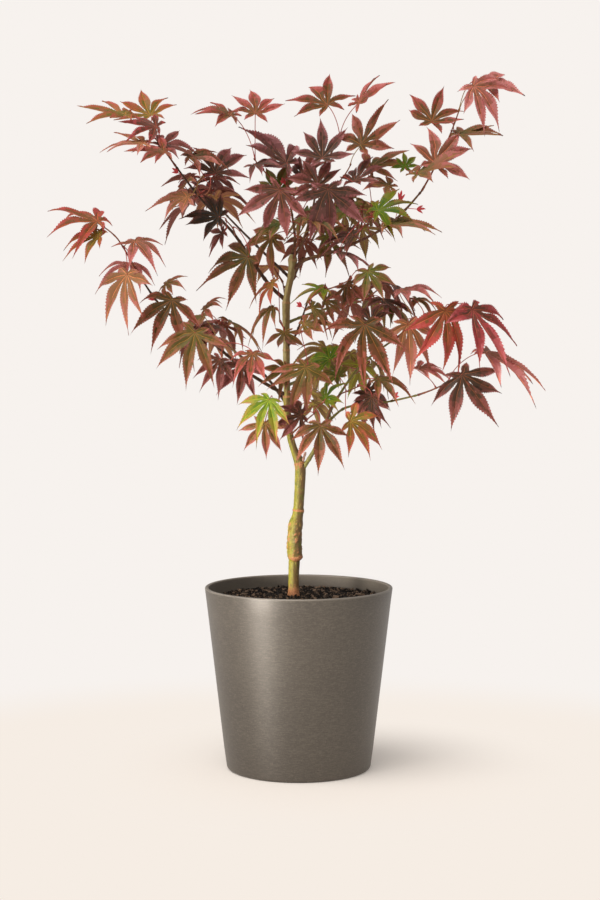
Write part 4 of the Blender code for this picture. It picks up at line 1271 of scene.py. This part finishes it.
def margin(notch, length, share, tooth):
    """Along and across of a lobe's margin, this share of the way from its notch to its tip."""
    along, across = notch
    both = LOBE_RISE + LOBE_FALL
    swell = LOBE_RISE**LOBE_RISE * LOBE_FALL**LOBE_FALL / both**both
    full = LOBE_FULLNESS * length**0.8 * share**LOBE_RISE * (1 - share) ** LOBE_FALL / swell
    toothed = tooth * TOOTH_DEPTH * min(1.0, (1 - share) * 3) * min(1.0, share * 6)
    reach = along + (length - along) * share + ROW_SLANT * full * (1 - share)
    return reach + toothed * 0.6, across * (1 - share) ** 4 * 0.9 ** (share * 20) + full + toothed


def half_lobe(made, lobe, side, layer):
    """One side of a lobe, in rows from the hub to the tip, each from the midrib to the margin."""
    length = LOBES[lobe][1]
    rows = LOBE_ROWS if length > 0.5 else SMALL_LOBE_ROWS
    notch = sinus_beside(lobe, side)
    root = (notch[0] + sinus_beside(lobe, -side)[0]) / 2
    seam = (lobe + (side + 1) // 2) % len(LOBES)

    def put(key, along, across, free, vein, pleat=0.0, layer=layer):
        return made.point((*key, layer), (lobe, along, across, free, pleat, layer, vein))

    def column(row, kind, tooth=0, share=0.0):
        """A point of one of the four columns: 0 midrib, 1 rib's edge, 2 middle, 3 margin."""
        free = max(row - 2, 0) / rows
        spine = root * row / 2 if row < 2 else root + (length - root) * free
        if row == 0:
            return put(("hub",), 0, 0, 0, 0)
        if row == rows + 2:
            return put(("tip", lobe), length, 0, 1, 0, layer=0)
        if kind == 0:
            return put(("rib", lobe, row), spine, 0, free, 0)
        if row < 2:
            edge = [part * row / 2 for part in notch]
        else:
            edge = margin(notch, length, min(free + share / rows, 1.0), tooth)
        along, out = edge[0], side * edge[1]
        if kind == 1:
            out = side * min(RIB_WIDTH * (1 - 0.75 * free), edge[1] * 0.4)
            return put(("vein", lobe, row, side), spine, out, free, 0.1 * side)
        if kind == 2:
            along = spine + (along - spine) * MIDDLE
            pleat = (-1) ** row * PLEAT * (row > 1)
            return put(("half", lobe, row, side), along, out * MIDDLE, free, MIDDLE * side, pleat)
        if row < 2:
            return put(("seam", seam, row), along, out, 0, side)
        if row == 2 and share == 0:
            return put(("sinus", seam), along, out, 0, side, layer=0)
        return put(("edge", lobe, row, side, share), along, out, free + share / rows, side, layer=0)

    for row in range(rows + 2):
        facts = (side > 0) != (layer > 0), max(row - 1.5, 0) / rows

        def face(corners, edge):
            made.face(corners, *facts, edge, layer < 0)

        near, far = ([column(at, kind) for kind in range(3)] for at in (row, row + 1))
        face([near[0], far[0], far[1], near[1]], 0.0)
        face([near[1], far[1], far[2], near[2]], 0.3)
        if row < 2:
            face([near[2], far[2], column(row + 1, 3), column(row, 3)], 0.8)
            continue
        rim = [column(row, 3, tooth, share) for tooth, share in TEETH] + [column(row + 1, 3)]
        face([near[2], rim[1], rim[0]], 0.8)
        face([near[2], rim[2], rim[1]], 1.0)
        face([near[2], far[2], rim[2]], 0.8)
        face([far[2], rim[3], rim[2]], 1.0)
        face([far[2], rim[4], rim[3]], 0.8)


pattern = Pattern()
for lobe, side, layer in itertools.product(range(len(LOBES)), (-1, 1), (1, -1)):
    half_lobe(pattern, lobe, side, layer)
on_lobe, along, across, freedom, pleat, layer, vein_side = np.array(pattern.rows).T
on_lobe = on_lobe.astype(int)
lobe_angle, lobe_length = np.array(LOBES)[on_lobe].T
lobe_angle = np.radians(lobe_angle)
corner_faces, *facts = zip(*pattern.faces)
face_freedom, face_edge, face_under = map(np.array, facts)
face_lobe = np.array([on_lobe[max(corners, key=freedom.__getitem__)] for corners in corner_faces])
above = pattern.above()
upper_trios = np.array([
    (corners[0], corners[step], corners[step + 1])
    for corners, _, _, under in pattern.faces
    if not under
    for step in range(1, len(corners) - 1)
])
on_rib = np.abs(across) < 1e-6
grip = np.clip(freedom / 0.3, 0, 1)
loose = grip**2 * (3 - 2 * grip)  # how freely each point moves: not at all at the hub


def shaped_leaf(hub, axes, reach, chance, lift):
    """The points of one leaf: the pattern, with each lobe turned, hooked, folded, twisted and hung."""

    def each(spread):
        return chance.normal(0, spread, len(LOBES))[on_lobe]

    turn = lobe_angle + loose * np.radians(each(5.5))
    stretch = 1 + freedom * each(0.06)
    hook = freedom**2 * lobe_length * (0.05 * np.sign(chance.normal()) + each(0.07))
    fold = chance.uniform(0.30, 0.55) + loose * each(0.08)
    curl = np.abs(chance.uniform(0.02, 0.16) + each(0.05))
    twist = freedom * each(0.35)
    x = along * stretch
    y = across * (1 + loose * each(0.10)) + hook
    u = x * np.cos(turn) - y * np.sin(turn)
    v = x * np.sin(turn) + y * np.cos(turn)
    spread = u * u + v * v
    wave = 0.012 * freedom * np.sin(along * 17 + chance.uniform(0, 6.3)) * np.sign(across)
    n = fold * np.abs(across) + twist * across + pleat + wave + (lift - LEAF_DROOP) * spread
    n = n - curl * freedom**3 * lobe_length + freedom**1.5 * lobe_length * each(0.14) - 0.004 * on_rib
    a, c, f = (np.array(tuple(axis)) for axis in axes)
    points = np.array(tuple(hub)) + reach * (u[:, None] * a + v[:, None] * c + n[:, None] * f)
    hang = freedom**3 * lobe_length * (0.5 * curl + chance.uniform(0.02, 0.16)) * (1 - 4 * lift)
    points[:, 2] -= ((LEAF_SAG - 0.3 * lift) * spread + hang) * reach
    one, two, three = (points[upper_trios[:, corner]] for corner in range(3))
    outward = np.zeros_like(points)
    for corner in range(3):
        np.add.at(outward, upper_trios[:, corner], np.cross(two - one, three - one))
    outward = outward[above]
    outward = outward / np.maximum(np.linalg.norm(outward, axis=1), 1e-9)[:, None]
    depth = (layer < 0) * (BLADE_THICKNESS + RIB_DEPTH * on_rib * (1 - 0.7 * freedom))
    return points - outward * depth[:, None]


def blend(first, second, share):
    return tuple(a + (b - a) * share for a, b in zip(first, second))


def leaf_finish(name, colour, rough):
    """A leaf's skin: one plain tint, with the side veins and a fine grain as relief and as gloss."""
    made, place = new_finish(name, Base_Color=paint(*colour), Specular_IOR_Level=0.30)
    veins = place.add("ShaderNodeUVMap", {}, uv_map="veins")  # along its lobe, and across it
    slant = veins.part("X") * 150.0 - place.math("ABSOLUTE", veins.part("Y")) * 8.0
    ridge = place.math("SINE", slant).between(0.2, 1.0)
    fine = place.grain(1100.0, 3.0, 0.6)
    return wire_up(made, Roughness=rough + fine * 0.25, Normal=(ridge * 0.5 + fine).bump(0.0002, 0.4))


def tone_ladder(core, blade, tip):
    """Five tones from the core of a leaf to its tips, then its rib and its under side."""
    core, tip = blend(core, blade, -0.25), blend(tip, blade, -0.1)
    rib = tuple(1.25 * part + more for part, more in zip(blend(core, blade, 0.3), (38, 24, 12)))
    under = blend(blade, (176, 128, 104), 0.30)
    return (core, blend(core, blade, 0.5), blade, blend(blade, tip, 0.5), tip, rib, under)


TONES = ("core", "inner", "blade", "outer", "tip", "rib", "under")
RIB, UNDER = TONES.index("rib"), TONES.index("under")
ladders = {}
for tint, tones in TINTS.items():
    ladders[tint] = [
        leaf_finish(f"leaf_{tint}_{part}", tone, 0.42 if part != "under" else 0.6)
        for part, tone in zip(TONES, tone_ladder(*tones))
    ]

for group, starts in GROUPS.items():
    members = [name for name in masses if name.startswith(starts)]
    chance = np.random.default_rng(len(group) * 7 + len(members))
    points, faces, slots, finishes, veins = [], [], [], [], []
    for name in members:
        for _, hub, axes, reach, tint in masses[name][3]:
            base = len(points) * len(along)
            reach = reach * SHADE_SIZE.get(group, 1.0)
            points.append(shaped_leaf(hub, axes, reach, chance, LIFTED.get(name, 0.0)))
            faces.extend(tuple(corner + base for corner in face) for face in corner_faces)
            if ladders[tint][0] not in finishes:
                finishes.extend(ladders[tint])
            ripe = 0.06 + 0.60 * face_freedom + 0.36 * face_edge**2 * (0.4 + face_freedom)
            ripe = ripe + chance.normal(0, 0.08) + chance.normal(0, 0.07, len(LOBES))[face_lobe]
            ripe = ripe + chance.normal(0, 0.11, len(corner_faces))
            tone = np.where(face_under, UNDER, np.clip((ripe * RIB).astype(int), 0, RIB - 1))
            tone = np.where((face_edge == 0) & (face_freedom < 0.9), RIB, tone)
            slots.append(tone + finishes.index(ladders[tint][0]))
            veins.append(np.stack((along, vein_side), axis=1))
    data = mesh_of(group, np.concatenate(points), faces, finishes, np.concatenate(slots))
    corners = np.empty(len(data.loops), int)
    data.loops.foreach_get("vertex_index", corners)
    layer_uv = data.uv_layers.new(name="veins")
    layer_uv.data.foreach_set("uv", np.concatenate(veins)[corners].ravel())
    data.set_sharp_from_angle(angle=math.radians(65))
    stand(group, data, "foliage", *("foliage_" + name for name in members))

# ---------------------------------------------------------------------------------------------------
# The studio: a pale warm sheet of paper that fades into a pale wall of the same light, one narrow soft
# lamp low on the left in front, even light from overhead, and a camera as high as the lower branches.

FLOOR_HALF = 6.0
SWEEP_MIDDLE = (0.0, -0.25, 0.0)
SWEEP_NEAR, SWEEP_FAR = 0.59, 0.87  # between these distances the paper fades to the wall's tone
LIT_MIDDLE = (0.035, -0.01, 0.0)
LIT_NEAR, LIT_FAR = 0.07, 0.30  # it takes the lamps' light by the pot, and is evenly toned farther off
# Even by the pot this share of the paper is a plain glow, which paints light into the pot's cast shadow.
LEAST_EVEN = 0.2
PAPER, WALL = paint(246, 237, 228), paint(247, 242, 238)
FILL = (0.45, 0.442, 0.435, 1.0)
CAMERA_TILT = 3.66

floor_mesh = bpy.data.meshes.new("floor")
corners = [(x * FLOOR_HALF, y * FLOOR_HALF, 0) for x, y in ((-1, -1), (1, -1), (1, 1), (-1, 1))]
floor_mesh.from_pydata(corners, [], [(0, 1, 2, 3)])
floor_finish, place = new_finish(
    "floor_paper", Base_Color=paint(243, 234, 225), Roughness=0.9, Specular_IOR_Level=0.1
)
tree = floor_finish.node_tree
lit = Wire(tree, tree.nodes["Principled BSDF"].outputs[0])
paper_glow = lit.add("ShaderNodeEmission", {"Color": PAPER, "Strength": 1.0})
wall_glow = lit.add("ShaderNodeEmission", {"Color": WALL, "Strength": 1.0})
far_off = place.vector("SUBTRACT", LIT_MIDDLE).vector("LENGTH").between(LIT_NEAR, LIT_FAR)
toned = far_off * (1 - LEAST_EVEN) + LEAST_EVEN
even = lit.add("ShaderNodeMixShader", {0: toned, 1: lit, 2: paper_glow})
away = place.vector("SUBTRACT", SWEEP_MIDDLE).vector("LENGTH").between(SWEEP_NEAR, SWEEP_FAR)
swept = lit.add("ShaderNodeMixShader", {0: away, 1: even, 2: wall_glow})
tree.links.new(tree.nodes["Material Output"].inputs["Surface"], swept.socket)
floor_mesh.materials.append(floor_finish)
link("floor", floor_mesh)

world = bpy.data.worlds.new("studio")
world.use_nodes = True
tree = world.node_tree
tree.nodes["Background"].inputs["Color"].default_value = WALL
seen = Wire(tree, tree.nodes["Background"].outputs[0])
fill = seen.add("ShaderNodeBackground", {"Color": FILL, "Strength": 1.0})
both = seen.add("ShaderNodeMixShader", {0: seen.add("ShaderNodeLightPath", {}), 1: fill, 2: seen})
tree.links.new(tree.nodes["World Output"].inputs["Surface"], both.socket)
bpy.context.scene.world = world


def hang_lamp(name, kind, place, aim, **settings):
    """A lamp in this place, which shines along the way of its aim."""
    lamp = bpy.data.lights.new(name, kind)
    for setting, value in settings.items():
        setattr(lamp, setting, value)
    hung = link(name, lamp)
    hung.location = place
    hung.rotation_euler = Vector(aim).to_track_quat("-Z", "Y").to_euler()


LAMP_PLACE = Vector((-1.26, -1.22, 0.29))
hang_lamp(
    "side_lamp",
    "AREA",
    LAMP_PLACE,
    Vector((0, 0, 0.26)) - LAMP_PLACE,
    shape="RECTANGLE",
    size=0.66,
    size_y=0.25,
    energy=1.0,
    spread=math.radians(18),
    color=(1.0, 0.97, 0.93),
)
hang_lamp(
    "overhead_light",
    "SUN",
    (0, 0, 0),
    (0.30, 0.36, -0.86),
    energy=2.2,
    angle=math.radians(50),
    color=(1.0, 0.985, 0.965),
)

camera = bpy.data.cameras.new("camera")
camera.lens = 75.5
camera.sensor_width = 36.0
camera_stand = link("camera", camera)
camera_stand.location = (0.0015, -2.2, 0.515)
camera_stand.rotation_euler = (math.radians(90 - CAMERA_TILT), 0, 0)
bpy.context.scene.camera = camera_stand
bpy.context.scene.view_settings.view_transform = "Standard"
